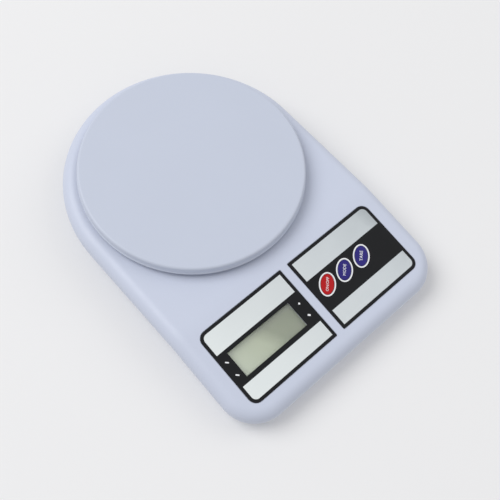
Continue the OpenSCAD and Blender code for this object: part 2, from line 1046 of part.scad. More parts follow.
// Frame that clamps the display glass and the rubber strip on the board
module display_holder() {
    rise = 0.4;
    play = 0.1;
    sight = 1;
    color([0.92, 0.92, 0.90])
        on_deck()
            at_window()
                difference() {
                    translate([-holder_w / 2, -holder_l / 2, board_top])
                        cube([holder_w, holder_l, glass_top - board_top + rise]);
                    translate([-glass_w / 2 - play, -glass_l / 2 - play, board_top - cut])
                        cube([glass_w + 2 * play, glass_l + 2 * play, glass_top - board_top + cut]);
                    translate([-window_w / 2 - sight, -window_l / 2 - sight, glass_top - cut])
                        cube([window_w + 2 * sight, window_l + 2 * sight, 3 * cut]);
                }
}

module zebra_strip() {
    end_gap = 2;
    color([0.85, 0.45, 0.55])
        on_deck()
            at_window()
                translate([-glass_w / 2 + end_gap, glass_l / 2 - zebra_w, board_top])
                    cube([glass_w - 2 * end_gap, zebra_w, zebra_h]);
}

module main_board() {
    hole_play = 0.2;
    color([0.16, 0.42, 0.24])
        on_deck()
            difference() {
                translate([board_x0, -window_cv - board_l / 2, board_z])
                    cube([board_x1 - board_x0, board_l, board_t]);
                at_board_screws()
                    translate([0, 0, board_z - cut])
                        cylinder(d = board_screw_d + 2 * hole_play, h = board_t + 2 * cut);
            }
}

module controller_blob() {
    step_h = 0.8;
    color([0.08, 0.08, 0.09])
        on_deck()
            at_window()
                translate([0, 0, board_z - 2 * step_h]) {
                    cylinder(d1 = blob_d - 4, d2 = blob_d, h = step_h);
                    translate([0, 0, step_h])
                        cylinder(d = blob_d, h = step_h);
                }
}

module board_capacitors() {
    pitch = cap_d + 3;
    color([0.20, 0.22, 0.42])
        on_deck()
            for (step = [0, 1])
                translate([label_x + key_first + step * pitch, -window_cv, board_z - cap_h])
                    cylinder(d = cap_d, h = cap_h);
}

// Small chips and the crystal on the underside of the board
module board_parts() {
    chip = [2, 1.25, 0.7];
    pitch = [4, 7];
    chips_at = [-label_x - 18, -window_cv - 8];
    crystal = [10, 4, 2.2];
    crystal_run = 22;
    color([0.55, 0.50, 0.42])
        on_deck() {
            for (row = [0:2])
                for (col = [0:3])
                    translate([chips_at[0] + col * pitch[0], chips_at[1] + row * pitch[1], board_z - chip[2]])
                        cube(chip);
            translate([label_x + key_first + crystal_run, -window_cv, board_z - crystal[2]])
                linear_extrude(height = crystal[2])
                    slot(crystal[0], crystal[1]);
        }
}

module board_screws() {
    pan_d = 4;
    pan_h = 1.4;
    color(steel)
        on_deck()
            at_board_screws()
                translate([0, 0, board_z])
                    screw(board_screw_d, board_t + board_screw_bite, pan_d, pan_h);
}

module push_switches() {
    color([0.15, 0.15, 0.16])
        on_deck()
            for (index = [0:2])
                at_key(index)
                    rotate(-key_tilt)
                        translate([0, 0, board_top])
                            difference() {
                                translate([-switch_s / 2, -switch_s / 2, 0])
                                    cube([switch_s, switch_s, switch_h]);
                                translate([0, 0, well_z - board_top])
                                    cylinder(d = plunger_d + 2 * screw_gap, h = switch_h);
                            }
}

// Oval key: cap with a stepped edge, flange under the cover, stem on the plunger
module key(index) {
    step_in = 0.25;
    step_h = 0.2;
    stem_d = 4;
    on_deck()
        at_key(index) {
            translate([0, 0, flange_top])
                linear_extrude(height = key_top - flange_top - step_h)
                    oval(key_a, key_b, key_end_r);
            translate([0, 0, flange_top])
                linear_extrude(height = key_top - flange_top)
                    oval(key_a - step_in, key_b - step_in, key_end_r - step_in);
            translate([0, 0, flange_top - key_flange_t])
                linear_extrude(height = key_flange_t)
                    oval(key_a + key_flange, key_b + key_flange, key_end_r + key_flange);
            translate([0, 0, plunger_top])
                cylinder(d = stem_d, h = flange_top - plunger_top);
        }
}

// Plunger of a push switch, with room to sink inside the switch
module plunger(index) {
    color([0.85, 0.85, 0.82])
        on_deck()
            at_key(index)
                translate([0, 0, plunger_z])
                    cylinder(d = plunger_d, h = plunger_top - plunger_z);
}

module power_button() {
    color([0.80, 0.13, 0.18])
        key(0);
}

module mode_button() {
    color([0.16, 0.10, 0.45])
        key(1);
}

module tare_button() {
    color([0.16, 0.10, 0.45])
        key(2);
}

module power_plunger() {
    plunger(0);
}

module mode_plunger() {
    plunger(1);
}

module tare_plunger() {
    plunger(2);
}

// Children in the frame of a battery: x from its spring end to its knob end
module at_battery(index) {
    translate([0, battery_y - index * battery_pitch, battery_z])
        rotate(180 * (1 - index))
            translate([-bay_x + contact_t + spring_l, 0, 0])
                children();
}

module battery_cells() {
    color([0.20, 0.45, 0.30])
        for (index = [0, 1])
            at_battery(index)
                rotate([0, 90, 0]) {
                    cylinder(d = battery_d, h = battery_l);
                    translate([0, 0, battery_l])
                        cylinder(d = knob_d, h = knob_h);
                }
}

// Spring steel plate on an end wall of the bay; side -1 is the left wall
module contact_plate(side, y0, y1, tab_ys) {
    x0 = side < 0 ? -bay_x : bay_x - contact_t;
    translate([x0, y0, battery_z - contact_h / 2])
        cube([contact_t, y1 - y0, contact_h]);
    for (y = tab_ys)
        translate([tab_x, y - tab_w / 2, tab_z])
            cube([bay_wall + tab_out, tab_w, contact_t]);
}

module positive_contact() {
    color(steel)
        contact_plate(-1, battery_y - contact_w / 2, battery_y + contact_w / 2, [battery_y]);
}

module negative_contact() {
    color(steel) {
        y = battery_y - battery_pitch;
        contact_plate(-1, y - contact_w / 2, y + contact_w / 2, [y]);
    }
}

module link_contact() {
    color(steel)
        contact_plate(1, battery_y - battery_pitch - contact_w / 2, battery_y + contact_w / 2, []);
}

function unit(v) = v / norm(v);

// Centre of the spring wire at a share s of its run, along X from its wide end
function curl_point(s) =
    let (r = spring_r + (spring_tip_r - spring_r) * s, a = 360 * spring_curls * s)
    [spring_wire / 2 + (spring_l - spring_wire) * s, r * cos(a), r * sin(a)];

curl_rings = 8;
curl_count = curl_rings * spring_curls;
curl_points = [for (i = [0:curl_count]) curl_point(i / curl_count)];

// Least gap between two curls, measured between ring centres
spring_gap = min([
    for (i = [0:curl_count - 6])
        for (j = [i + 6:curl_count])
            norm(curl_points[i] - curl_points[j]) - spring_wire
]);
echo(spring_gap = spring_gap);

// First side vector of each ring, carried along the route without twist
function carried(tangents, start) = [
    for (i = 0, u = unit(cross(cross(tangents[0], start), tangents[0]));
        i < len(tangents);
        i = i + 1, u = i < len(tangents) ? unit(u - (u * tangents[i]) * tangents[i]) : u) u
];

// Closed tube of triangles along a list of points
module tube(points, d, sides, start) {
    last = len(points) - 1;
    tangents = [for (i = [0:last]) unit(points[min(i + 1, last)] - points[max(i - 1, 0)])];
    us = carried(tangents, start);
    verts = [
        for (i = [0:last])
            for (k = [0:sides - 1])
                let (a = 360 * k / sides, u = us[i], v = cross(tangents[i], us[i]))
                points[i] + d / 2 * (cos(a) * u + sin(a) * v)
    ];
    skin = [
        for (i = [0:last - 1])
            for (k = [0:sides - 1])
                let (a = i * sides + k, b = i * sides + (k + 1) % sides)
                each [[a, a + sides, b + sides], [a, b + sides, b]]
    ];
    start_cap = [for (k = [1:sides - 2]) [0, k, k + 1]];
    end_cap = [for (k = [1:sides - 2]) [last * sides, last * sides + k + 1, last * sides + k]];
    polyhedron(points = verts, faces = concat(skin, start_cap, end_cap));
}

module contact_springs() {
    color(steel)
        for (index = [0, 1])
            at_battery(index)
                translate([-spring_l, 0, 0])
                    tube(curl_points, spring_wire, 6, [0, 1, 0]);
}

// Points on a smooth curve through the given ones, with steps points per stretch
function smooth(p, steps) = [
    for (i = [0:len(p) - 2])
        for (k = [0:steps - 1])
            let (
                a = p[max(i - 1, 0)], b = p[i], c = p[i + 1], d = p[min(i + 2, len(p) - 1)],
                s = k / steps
            )
            0.5 * (2 * b + (c - a) * s + (2 * a - 5 * b + 4 * c - d) * s * s
                + (3 * b - a - 3 * c + d) * s * s * s),
    p[len(p) - 1]
];

// Wire from a contact tab down the bay to the board
module battery_wire(y, route) {
    start = [tab_x - wire_d / 2, y, tab_z + contact_t / 2];
    tube(smooth(concat([start], route), 4), wire_d, 8, [0, 0, 1]);
}

module battery_wire_red() {
    color([0.75, 0.10, 0.10])
        battery_wire(battery_y, red_route);
}

module battery_wire_black() {
    color([0.08, 0.08, 0.08])
        battery_wire(battery_y - battery_pitch, black_route);
}

module load_cell_cable() {
    start = [0, plate_y - (cell_s + cable_d) / 2, cell_z + cell_s / 2];
    color([0.85, 0.85, 0.83])
        tube(smooth(concat([start], cable_route), 4), cable_d, 8, [0, 0, 1]);
}

// Battery door: plate, two fingers over the floor at the back, catch at the front
module battery_door() {
    grip = [14, 0.8, 0.5];
    grip_run = 6;
    grip_pitch = 2;
    stalk_t = 1.6;
    color(shell_white) {
        y0 = bay_y0 + door_gap;
        y1 = bay_y1 - door_gap;
        difference() {
            translate([-bay_x + door_gap, y0, stand_h])
                cube([2 * (bay_x - door_gap), y1 - y0, door_t]);
            for (row = [0:3])
                translate([-grip[0] / 2, y0 + grip_run + row * grip_pitch, stand_h - cut])
                    cube([grip[0], grip[1], cut + grip[2]]);
        }
        for (x = finger_xs)
            translate([x - finger_w / 2, y1 - stalk_t, stand_h]) {
                cube([finger_w, stalk_t, finger_z + finger_t - stand_h]);
                translate([0, 0, finger_z - stand_h])
                    cube([finger_w, stalk_t + door_gap + finger_l, finger_t]);
            }
        translate([-catch_w / 2, y0, stand_h])
            cube([catch_w, catch_t, door_t + catch_h]);
    }
}

top_cover();
base_cover();
rubber_feet();
housing_screws();
load_cell();
gauge_sealant();
base_shim();
load_cell_base_screws();
weighing_platform();
platform_carrier();
platform_shim();
carrier_screws();
display_label();
button_label();
display_lens();
display_glass();
display_holder();
zebra_strip();
main_board();
controller_blob();
board_capacitors();
board_parts();
board_screws();
push_switches();
power_button();
mode_button();
tare_button();
power_plunger();
mode_plunger();
tare_plunger();
battery_cells();
positive_contact();
negative_contact();
link_contact();
contact_springs();
battery_wire_red();
battery_wire_black();
load_cell_cable();
battery_door();
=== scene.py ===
import math

import bmesh
import bpy
from mathutils import Matrix, Vector


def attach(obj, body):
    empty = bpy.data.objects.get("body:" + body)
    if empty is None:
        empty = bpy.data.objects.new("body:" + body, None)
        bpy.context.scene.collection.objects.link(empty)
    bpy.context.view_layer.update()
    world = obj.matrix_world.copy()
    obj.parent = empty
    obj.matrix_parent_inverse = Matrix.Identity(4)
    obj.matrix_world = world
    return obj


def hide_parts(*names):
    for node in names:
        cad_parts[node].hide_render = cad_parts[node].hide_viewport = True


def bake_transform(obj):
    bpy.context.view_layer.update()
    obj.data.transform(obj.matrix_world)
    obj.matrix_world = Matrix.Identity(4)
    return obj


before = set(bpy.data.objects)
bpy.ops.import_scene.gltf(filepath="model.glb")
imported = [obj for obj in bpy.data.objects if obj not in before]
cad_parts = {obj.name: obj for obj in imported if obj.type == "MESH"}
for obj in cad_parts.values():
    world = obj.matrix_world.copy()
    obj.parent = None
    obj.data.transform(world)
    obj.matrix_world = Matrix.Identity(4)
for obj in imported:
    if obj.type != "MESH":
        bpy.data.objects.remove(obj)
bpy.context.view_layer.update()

mm = 0.001

# Main sizes in mm, the same as in the construction model
body = {
    "width": 165, "length": 232, "seamZ": 18.5, "edgeR": 8.2, "cornerR": 24, "wall": 2.4,
    "slope": math.radians(7.5), "bendRun": 79.5, "softBend": 70,
}
plateY = body["length"] / 2 - body["width"] / 2
bendY = plateY - body["bendRun"]
slopeRun = (bendY + body["length"] / 2) / math.cos(body["slope"])
bendCut = body["softBend"] * math.tan(body["slope"] / 2)
halfWidth = body["width"] / 2
deckFrame = (
    Matrix.Translation((0, bendY, body["seamZ"]))
    @ Matrix.Rotation(body["slope"], 4, "X")
    @ Matrix.Translation((0, 0, body["edgeR"]))
)

# How close points count as one, in mm
near = {"corner": 1e-3, "solid": 1e-4, "film": 1e-5}


# Mesh helpers, all in mm

# Rectangle as one flat face, with radii from the front left corner anticlockwise
def newFace(low, high, radii, z, segments=10):
    bm = bmesh.new()
    verts = bmesh.ops.create_grid(bm, x_segments=1, y_segments=1, size=0.5)["verts"]
    bmesh.ops.scale(bm, verts=verts, vec=(high[0] - low[0], high[1] - low[1], 1))
    bmesh.ops.translate(bm, verts=verts, vec=((low[0] + high[0]) / 2, (low[1] + high[1]) / 2, z))
    corners = ((low[0], low[1]), (high[0], low[1]), (high[0], high[1]), (low[0], high[1]))
    for (x, y), r in zip(corners, radii):
        if r > 0:
            vert = min(bm.verts, key=lambda v: (v.co.x - x) ** 2 + (v.co.y - y) ** 2)
            bmesh.ops.bevel(
                bm, geom=[vert], offset=r, offset_type="OFFSET", segments=segments,
                profile=0.5, affect="VERTICES", clamp_overlap=False, material=-1,
            )
    bmesh.ops.remove_doubles(bm, verts=bm.verts, dist=near["corner"])
    bm.faces.ensure_lookup_table()
    return bm, bm.faces[0]


def newDisc(a, b, z, segments):
    bm = bmesh.new()
    made = bmesh.ops.create_circle(bm, cap_ends=True, segments=segments, radius=1)
    bmesh.ops.scale(bm, verts=made["verts"], vec=(a, b, 1))
    bmesh.ops.translate(bm, verts=made["verts"], vec=(0, 0, z))
    bm.faces.ensure_lookup_table()
    return bm, bm.faces[0]


def liftFace(bm, face, rise):
    bmesh.ops.translate(bm, verts=list(face.verts), vec=(0, 0, rise))


# Insets a face, lifts what is inside and returns the new border
def drawIn(bm, face, thickness, rise):
    border = bmesh.ops.inset_region(
        bm, faces=[face], thickness=thickness, depth=0, use_even_offset=True, use_boundary=True
    )["faces"]
    liftFace(bm, face, rise)
    return border


# Quarter round from an upright wall to a flat top
def roundOver(bm, face, width, height, steps):
    for i in range(steps):
        a0, a1 = math.pi / 2 * i / steps, math.pi / 2 * (i + 1) / steps
        drawIn(bm, face, width * (math.cos(a0) - math.cos(a1)), height * (math.sin(a1) - math.sin(a0)))


# Gives flat faces a second side and upright walls, and returns that second side
def giveDepth(bm, faces, depth):
    made = bmesh.ops.extrude_face_region(bm, geom=faces, use_keep_orig=True)["geom"]
    verts = [g for g in made if isinstance(g, bmesh.types.BMVert)]
    bmesh.ops.translate(bm, verts=verts, vec=(0, 0, -depth))
    return [g for g in made if isinstance(g, bmesh.types.BMFace)]


def bevelEdges(bm, edges, width, segments):
    bmesh.ops.bevel(
        bm, geom=edges, offset=width, offset_type="OFFSET", segments=segments,
        profile=0.5, affect="EDGES", clamp_overlap=True, material=-1,
    )


def cutAcross(bm, point, normal, dist):
    bmesh.ops.bisect_plane(
        bm, geom=bm.verts[:] + bm.edges[:] + bm.faces[:], dist=dist, plane_co=point, plane_no=normal
    )


def closeUp(bm):
    bmesh.ops.remove_doubles(bm, verts=bm.verts, dist=near["solid"])
    bmesh.ops.dissolve_degenerate(bm, edges=bm.edges, dist=near["solid"])
    bmesh.ops.recalc_face_normals(bm, faces=bm.faces)
    return bm


def prism(bm, face, z0, z1):
    liftFace(bm, face, z0 - face.verts[0].co.z)
    giveDepth(bm, [face], z0 - z1)
    return closeUp(bm)


# Upright block centred on the origin, with round corners
def block(halfX, halfY, radius, z0, z1, segments):
    bm, face = newFace((-halfX, -halfY), (halfX, halfY), (radius,) * 4, 0, segments)
    return prism(bm, face, z0, z1)


# Closed solid turned from an outline of (radius, z) points
def turned(outline, steps, center=(0, 0)):
    bm = bmesh.new()
    verts = [bm.verts.new((r, 0, z)) for r, z in outline]
    edges = [bm.edges.new(pair) for pair in zip(verts, verts[1:])]
    bmesh.ops.spin(
        bm, geom=verts + edges, cent=(0, 0, 0), axis=(0, 0, 1), dvec=(0, 0, 0),
        angle=math.tau, steps=steps, use_merge=True, use_duplicate=False,
    )
    bmesh.ops.translate(bm, verts=bm.verts, vec=(center[0], center[1], 0))
    return closeUp(bm)


def tube(inner, outer, z0, z1, center, steps=32):
    return turned([(inner, z0), (outer, z0), (outer, z1), (inner, z1), (inner, z0)], steps, center)


# Outline points of an arc, from one angle in degrees to another
def arc(r, z, radius, start, end, steps):
    points = []
    for i in range(steps + 1):
        a = math.radians(start + (end - start) * i / steps)
        points.append((r + radius * math.cos(a), z + radius * math.sin(a)))
    return points


def moved(bm, matrix):
    bmesh.ops.transform(bm, matrix=matrix, verts=bm.verts)
    return bm


def joined(parts):
    whole = bmesh.new()
    for part in parts:
        mesh = bpy.data.meshes.new("part")
        part.to_mesh(mesh)
        part.free()
        whole.from_mesh(mesh)
        bpy.data.meshes.remove(mesh)
    return whole


def meshObject(bm, name):
    mesh = bpy.data.meshes.new(name)
    bm.to_mesh(mesh)
    bm.free()
    obj = bpy.data.objects.new(name, mesh)
    bpy.context.scene.collection.objects.link(obj)
    return obj


# Cuts solids out of a solid with Blender's own boolean
def carved(bm, cutters):
    base = meshObject(bm, "blank")
    tools = [meshObject(cutter, "cutter") for cutter in cutters]
    for tool in tools:
        mod = base.modifiers.new("cut", "BOOLEAN")
        mod.operation = "DIFFERENCE"
        mod.solver = "EXACT"
        mod.object = tool
    bpy.context.view_layer.update()
    result = bmesh.new()
    result.from_object(base, bpy.context.evaluated_depsgraph_get())
    for obj in [base] + tools:
        mesh = obj.data
        bpy.data.objects.remove(obj)
        bpy.data.meshes.remove(mesh)
    return result


# Mesh of a curve or a text, which is taken away again
def fromCurve(curve):
    obj = bpy.data.objects.new(curve.name, curve)
    bpy.context.scene.collection.objects.link(obj)
    bpy.context.view_layer.update()
    mesh = bpy.data.meshes.new_from_object(obj.evaluated_get(bpy.context.evaluated_depsgraph_get()))
    bm = bmesh.new()
    bm.from_mesh(mesh)
    bpy.data.meshes.remove(mesh)
    bpy.data.objects.remove(obj)
    bpy.data.curves.remove(curve)
    return closeUp(bm)


# Object with smooth faces and sharp edges over an angle in degrees
def smoothObject(bm, name, sharp):
    obj = meshObject(bm, name)
    obj.data.polygons.foreach_set("use_smooth", [True] * len(obj.data.polygons))
    obj.data.set_sharp_from_angle(angle=math.radians(sharp))
    return obj


# Piece in metres that rides on a body and may stand for nodes of the construction model
def addPiece(bm, name, rides, materials, replaces, sharp):
    bmesh.ops.scale(bm, verts=bm.verts, vec=(mm, mm, mm))
    obj = smoothObject(bm, name, sharp)
    for material in materials:
        obj.data.materials.append(material)
    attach(obj, rides)
    if replaces:
        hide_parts(*replaces)
    return obj


# Materials: each helper adds nodes to a tree and returns the output to go on with

# Part of its range that a noise really covers
noiseSpan = {"low": 0.3, "mid": 0.5, "high": 0.7}


def startMaterial(name):
    material = bpy.data.materials.new(name)
    material.use_nodes = True
    tree = material.node_tree
    place = tree.nodes.new("ShaderNodeTexCoord").outputs["Object"]
    return material, tree, tree.nodes["Principled BSDF"], place


def addNoise(tree, place, scale, detail, rough=0.5, stretch=None):
    noise = tree.nodes.new("ShaderNodeTexNoise")
    noise.inputs["Scale"].default_value = scale
    noise.inputs["Detail"].default_value = detail
    noise.inputs["Roughness"].default_value = rough
    if stretch:
        mapping = tree.nodes.new("ShaderNodeMapping")
        mapping.inputs["Scale"].default_value = stretch
        tree.links.new(place, mapping.inputs["Vector"])
        place = mapping.outputs["Vector"]
    tree.links.new(place, noise.inputs["Vector"])
    return noise.outputs["Fac"]


def addRamp(tree, source, stops):
    ramp = tree.nodes.new("ShaderNodeValToRGB")
    ends = ramp.color_ramp.elements
    for end, (position, color) in ((ends[0], stops[0]), (ends[1], stops[-1])):
        end.position = position
        end.color = (*color, 1)
    for position, color in stops[1:-1]:
        ramp.color_ramp.elements.new(position).color = (*color, 1)
    tree.links.new(source, ramp.inputs["Fac"])
    return ramp.outputs["Color"]


def addRange(tree, source, low, high, fromLow=noiseSpan["low"], fromHigh=noiseSpan["high"]):
    node = tree.nodes.new("ShaderNodeMapRange")
    for key, value in (("From Min", fromLow), ("From Max", fromHigh), ("To Min", low), ("To Max", high)):
        node.inputs[key].default_value = value
    tree.links.new(source, node.inputs["Value"])
    return node.outputs["Result"]


def addMath(tree, operation, first, second):
    node = tree.nodes.new("ShaderNodeMath")
    node.operation = operation
    tree.links.new(first, node.inputs[0])
    tree.links.new(second, node.inputs[1])
    return node


# Runs from 0 to 1 between two places along X, after a turn about Z in degrees
def addAcross(tree, place, turn, start, end):
    mapping = tree.nodes.new("ShaderNodeMapping")
    mapping.inputs["Rotation"].default_value = (0, 0, math.radians(turn))
    tree.links.new(place, mapping.inputs["Vector"])
    split = tree.nodes.new("ShaderNodeSeparateXYZ")
    tree.links.new(mapping.outputs["Vector"], split.inputs["Vector"])
    return addRange(tree, split.outputs["X"], 0, 1, start, end)


def setGloss(tree, shader, source, low, high):
    tree.links.new(addRange(tree, source, low, high), shader.inputs["Roughness"])


def setBump(tree, shader, source, strength, depth):
    bump = tree.nodes.new("ShaderNodeBump")
    bump.inputs["Strength"].default_value = strength
    bump.inputs["Distance"].default_value = depth
    tree.links.new(source, bump.inputs["Height"])
    tree.links.new(bump.outputs["Normal"], shader.inputs["Normal"])


def tinted(color, factor):
    return tuple(min(1.0, c * factor) for c in color)


plainLook = {
    "blotchScale": 60, "swing": 0.03, "smearScale": 140, "spread": 0.05, "stretch": None,
    "grainScale": 2600, "grain": 0.12, "grainDepth": 0.00004,
    "metal": 0.0, "specular": 0.5, "coat": 0.0, "coatRough": 0.08,
}


# Surface with blotchy tone, uneven gloss and a fine grain
def finish(name, color, rough, **changes):
    look = {**plainLook, **changes}
    material, tree, shader, place = startMaterial(name)
    blotch = addNoise(tree, place, look["blotchScale"], detail=3)
    dark, pale = tinted(color, 1 - look["swing"]), tinted(color, 1 + look["swing"])
    stops = [(noiseSpan["low"], dark), (noiseSpan["mid"], color), (noiseSpan["high"], pale)]
    tree.links.new(addRamp(tree, blotch, stops), shader.inputs["Base Color"])
    smear = addNoise(tree, place, look["smearScale"], detail=4, rough=0.6, stretch=look["stretch"])
    setGloss(tree, shader, smear, rough - look["spread"], rough + look["spread"])
    grain = addNoise(tree, place, look["grainScale"], detail=2, stretch=look["stretch"])
    setBump(tree, shader, grain, look["grain"], look["grainDepth"])
    shader.inputs["Metallic"].default_value = look["metal"]
    shader.inputs["Specular IOR Level"].default_value = look["specular"]
    shader.inputs["Coat Weight"].default_value = look["coat"]
    shader.inputs["Coat Roughness"].default_value = look["coatRough"]
    return material


boardLook = {
    "scale": 260, "gap": 0.025, "mask": (0.018, 0.12, 0.045, 1), "maskPale": (0.022, 0.14, 0.052, 1),
    "track": (0.05, 0.24, 0.09, 1), "weaveScale": 900, "rough": (0.25, 0.4), "bump": 0.3, "depth": 0.00004,
}


# Green solder mask with straight copper tracks showing through it
def boardMaterial():
    material, tree, shader, place = startMaterial("solderMask")
    track = tree.nodes.new("ShaderNodeTexBrick")
    track.inputs["Scale"].default_value = boardLook["scale"]
    track.inputs["Mortar Size"].default_value = boardLook["gap"]
    track.inputs["Color1"].default_value = boardLook["mask"]
    track.inputs["Color2"].default_value = boardLook["maskPale"]
    track.inputs["Mortar"].default_value = boardLook["track"]
    tree.links.new(place, track.inputs["Vector"])
    tree.links.new(track.outputs["Color"], shader.inputs["Base Color"])
    setGloss(tree, shader, addNoise(tree, place, boardLook["weaveScale"], detail=3), *boardLook["rough"])
    setBump(tree, shader, track.outputs["Fac"], boardLook["bump"], boardLook["depth"])
    return material


displayGlassAndReflection = {
    "turn": -28, "start": -0.1, "end": -0.035, "speckScale": 3000, "rough": (0.2, 0.32),
    "coat": 0.6, "coatRough": 0.05,
    # The stops paint a reflection across the glass, pale towards the outer edge and dark towards the keys
    "stops": [
        (0.08, (0.6, 0.66, 0.51)), (0.42, (0.45, 0.5, 0.345)),
        (0.56, (0.21, 0.245, 0.135)), (0.9, (0.16, 0.19, 0.09)),
    ],
}


# Grey-green display glass with a painted reflection across it: paler towards the outer edge and darker
# towards the keys
def displayMaterial():
    material, tree, shader, place = startMaterial("displayGlassPaintedReflection")
    paintedReflection = addAcross(tree, place, displayGlassAndReflection["turn"], displayGlassAndReflection["start"], displayGlassAndReflection["end"])
    tree.links.new(addRamp(tree, paintedReflection, displayGlassAndReflection["stops"]), shader.inputs["Base Color"])
    setGloss(tree, shader, addNoise(tree, place, displayGlassAndReflection["speckScale"], detail=2), *displayGlassAndReflection["rough"])
    shader.inputs["Coat Weight"].default_value = displayGlassAndReflection["coat"]
    shader.inputs["Coat Roughness"].default_value = displayGlassAndReflection["coatRough"]
    return material


silverFilmAndSheen = {
    "turn": -17, "start": -0.09, "end": 0.05, "cloudScale": 35, "drift": 0.05, "smearScale": 140,
    "rough": (0.37, 0.47), "grainScale": 4200, "grain": 0.12, "grainDepth": 0.00004, "metal": 0.3,
    # The stops paint a sheen, pale towards the outer side of the display and dark towards the keys
    "stops": [
        (0.02, (0.76, 0.805, 0.81)), (0.43, (0.645, 0.685, 0.7)), (0.69, (0.595, 0.635, 0.66)),
        (0.9, (0.52, 0.56, 0.585)), (0.98, (0.41, 0.445, 0.47)),
    ],
}


# Satin silver film with a painted sheen: a little paler towards the outer side of the display and darker
# towards the keys; the cloudy drift on top is random tone
def silverMaterial():
    material, tree, shader, place = startMaterial("silverFilmPaintedSheen")
    paintedReflection = addAcross(tree, place, silverFilmAndSheen["turn"], silverFilmAndSheen["start"], silverFilmAndSheen["end"])
    cloud = addNoise(tree, place, silverFilmAndSheen["cloudScale"], detail=3)
    drift = addRange(tree, cloud, -silverFilmAndSheen["drift"], silverFilmAndSheen["drift"])
    total = addMath(tree, "ADD", paintedReflection, drift).outputs["Value"]
    tree.links.new(addRamp(tree, total, silverFilmAndSheen["stops"]), shader.inputs["Base Color"])
    smear = addNoise(tree, place, silverFilmAndSheen["smearScale"], detail=4, rough=0.6)
    setGloss(tree, shader, smear, *silverFilmAndSheen["rough"])
    grain = addNoise(tree, place, silverFilmAndSheen["grainScale"], detail=2)
    setBump(tree, shader, grain, silverFilmAndSheen["grain"], silverFilmAndSheen["grainDepth"])
    shader.inputs["Metallic"].default_value = silverFilmAndSheen["metal"]
    return material


lensLook = {
    "scale": 120, "detail": 3, "noiseRough": 0.5, "dark": (0.75, 0.8, 0.78), "pale": (0.82, 0.86, 0.84),
    "rough": (0.03, 0.09), "metal": 0.0, "alpha": 0.12,
}
sleeveLook = {
    "scale": 220, "detail": 4, "noiseRough": 0.6, "dark": (0.02, 0.11, 0.06), "pale": (0.028, 0.15, 0.08),
    "rough": (0.22, 0.34), "metal": 0.35, "alpha": 1.0,
}


# Surface with one noise for both its tone and its gloss
def hazeMaterial(name, look):
    material, tree, shader, place = startMaterial(name)
    haze = addNoise(tree, place, look["scale"], look["detail"], look["noiseRough"])
    stops = [(noiseSpan["low"], look["dark"]), (noiseSpan["high"], look["pale"])]
    tree.links.new(addRamp(tree, haze, stops), shader.inputs["Base Color"])
    setGloss(tree, shader, haze, *look["rough"])
    shader.inputs["Metallic"].default_value = look["metal"]
    shader.inputs["Alpha"].default_value = look["alpha"]
    return material


looks = {
    "shell": finish("shellPlastic", (0.59, 0.635, 0.765), 0.42, swing=0.008, grain=0.1, blotchScale=25),
    # Platform colour: the shell plastic painted about 5 % darker, as painted shade
    "plate": finish(
        "platePlasticPaintedShade", (0.56, 0.605, 0.72), 0.45,
        swing=0.006, grain=0.08, blotchScale=25, spread=0.03, specular=0.4,
    ),
    "black": finish("blackPrint", (0.009, 0.0095, 0.011), 0.42, swing=0.12, grainScale=4200, specular=0.14),
    "whitePrint": finish("whitePrint", (0.86, 0.87, 0.9), 0.4, swing=0.02, grain=0.05),
    "red": finish("redKey", (0.46, 0.008, 0.011), 0.34, swing=0.06, grain=0.05, specular=0.2),
    "blue": finish("blueKey", (0.021, 0.015, 0.18), 0.34, swing=0.08, grain=0.05, specular=0.25),
    "carrier": finish("plainPlastic", (0.74, 0.74, 0.71), 0.5, grain=0.2),
    "rubber": finish(
        "footRubber", (0.075, 0.075, 0.08), 0.72, swing=0.12, grain=0.35, grainDepth=0.00008, grainScale=1500
    ),
    "steel": finish(
        "zincSteel", (0.56, 0.57, 0.58), 0.32,
        metal=1.0, swing=0.06, spread=0.1, blotchScale=400, smearScale=900,
    ),
    "aluminium": finish(
        "milledAluminium", (0.62, 0.63, 0.64), 0.36,
        metal=1.0, swing=0.04, spread=0.1, stretch=(1, 14, 14), grain=0.3, grainScale=300,
    ),
    "sealant": finish("whiteSealant", (0.8, 0.8, 0.77), 0.45, grain=0.3, grainScale=500),
    "zebra": finish("layeredRubber", (0.62, 0.2, 0.27), 0.6, swing=0.25, stretch=(40, 1, 1)),
    "resin": finish("blackResin", (0.012, 0.012, 0.013), 0.22, swing=0.2, coat=0.4, grainScale=300),
    "sleeve": finish("capacitorSleeve", (0.03, 0.035, 0.14), 0.35, swing=0.1),
    "ceramic": finish("ceramicChips", (0.26, 0.2, 0.14), 0.5, swing=0.25, blotchScale=700),
    "wireRed": finish("redWire", (0.45, 0.012, 0.012), 0.42, swing=0.06),
    "wireBlack": finish("blackWire", (0.014, 0.014, 0.015), 0.42, swing=0.15),
    "wireWhite": finish("whiteWire", (0.7, 0.7, 0.67), 0.45, swing=0.04),
    "board": boardMaterial(),
    "display": displayMaterial(),
    "silver": silverMaterial(),
    "lens": hazeMaterial("clearLens", lensLook),
    "cell": hazeMaterial("cellSleeve", sleeveLook),
    "cellBand": finish("cellBand", (0.62, 0.42, 0.12), 0.3, metal=0.7, swing=0.08),
}
print("materials made:", len(looks))

# Solids that are shown as they are
nodeLooks = {
    "shell": ("base_cover", "battery_door"),
    "steel": (
        "housing_screws", "load_cell_base_screws", "carrier_screws", "board_screws",
        "positive_contact", "negative_contact", "link_contact",
    ),
    "aluminium": ("base_shim", "platform_shim"),
    "carrier": ("platform_carrier", "display_holder", "power_plunger", "mode_plunger", "tare_plunger"),
    "lens": ("display_lens",),
    "display": ("display_glass",),
    "zebra": ("zebra_strip",),
    "board": ("main_board",),
    "resin": ("controller_blob", "push_switches"),
    "sleeve": ("board_capacitors",),
    "ceramic": ("board_parts",),
}
for lookName, nodeNames in nodeLooks.items():
    for nodeName in nodeNames:
        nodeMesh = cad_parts[nodeName].data
        nodeMesh.materials.clear()
        nodeMesh.materials.append(looks[lookName])


# Top cover; z is counted from the seam or from the deck, and v from the rear edge of the labels forwards

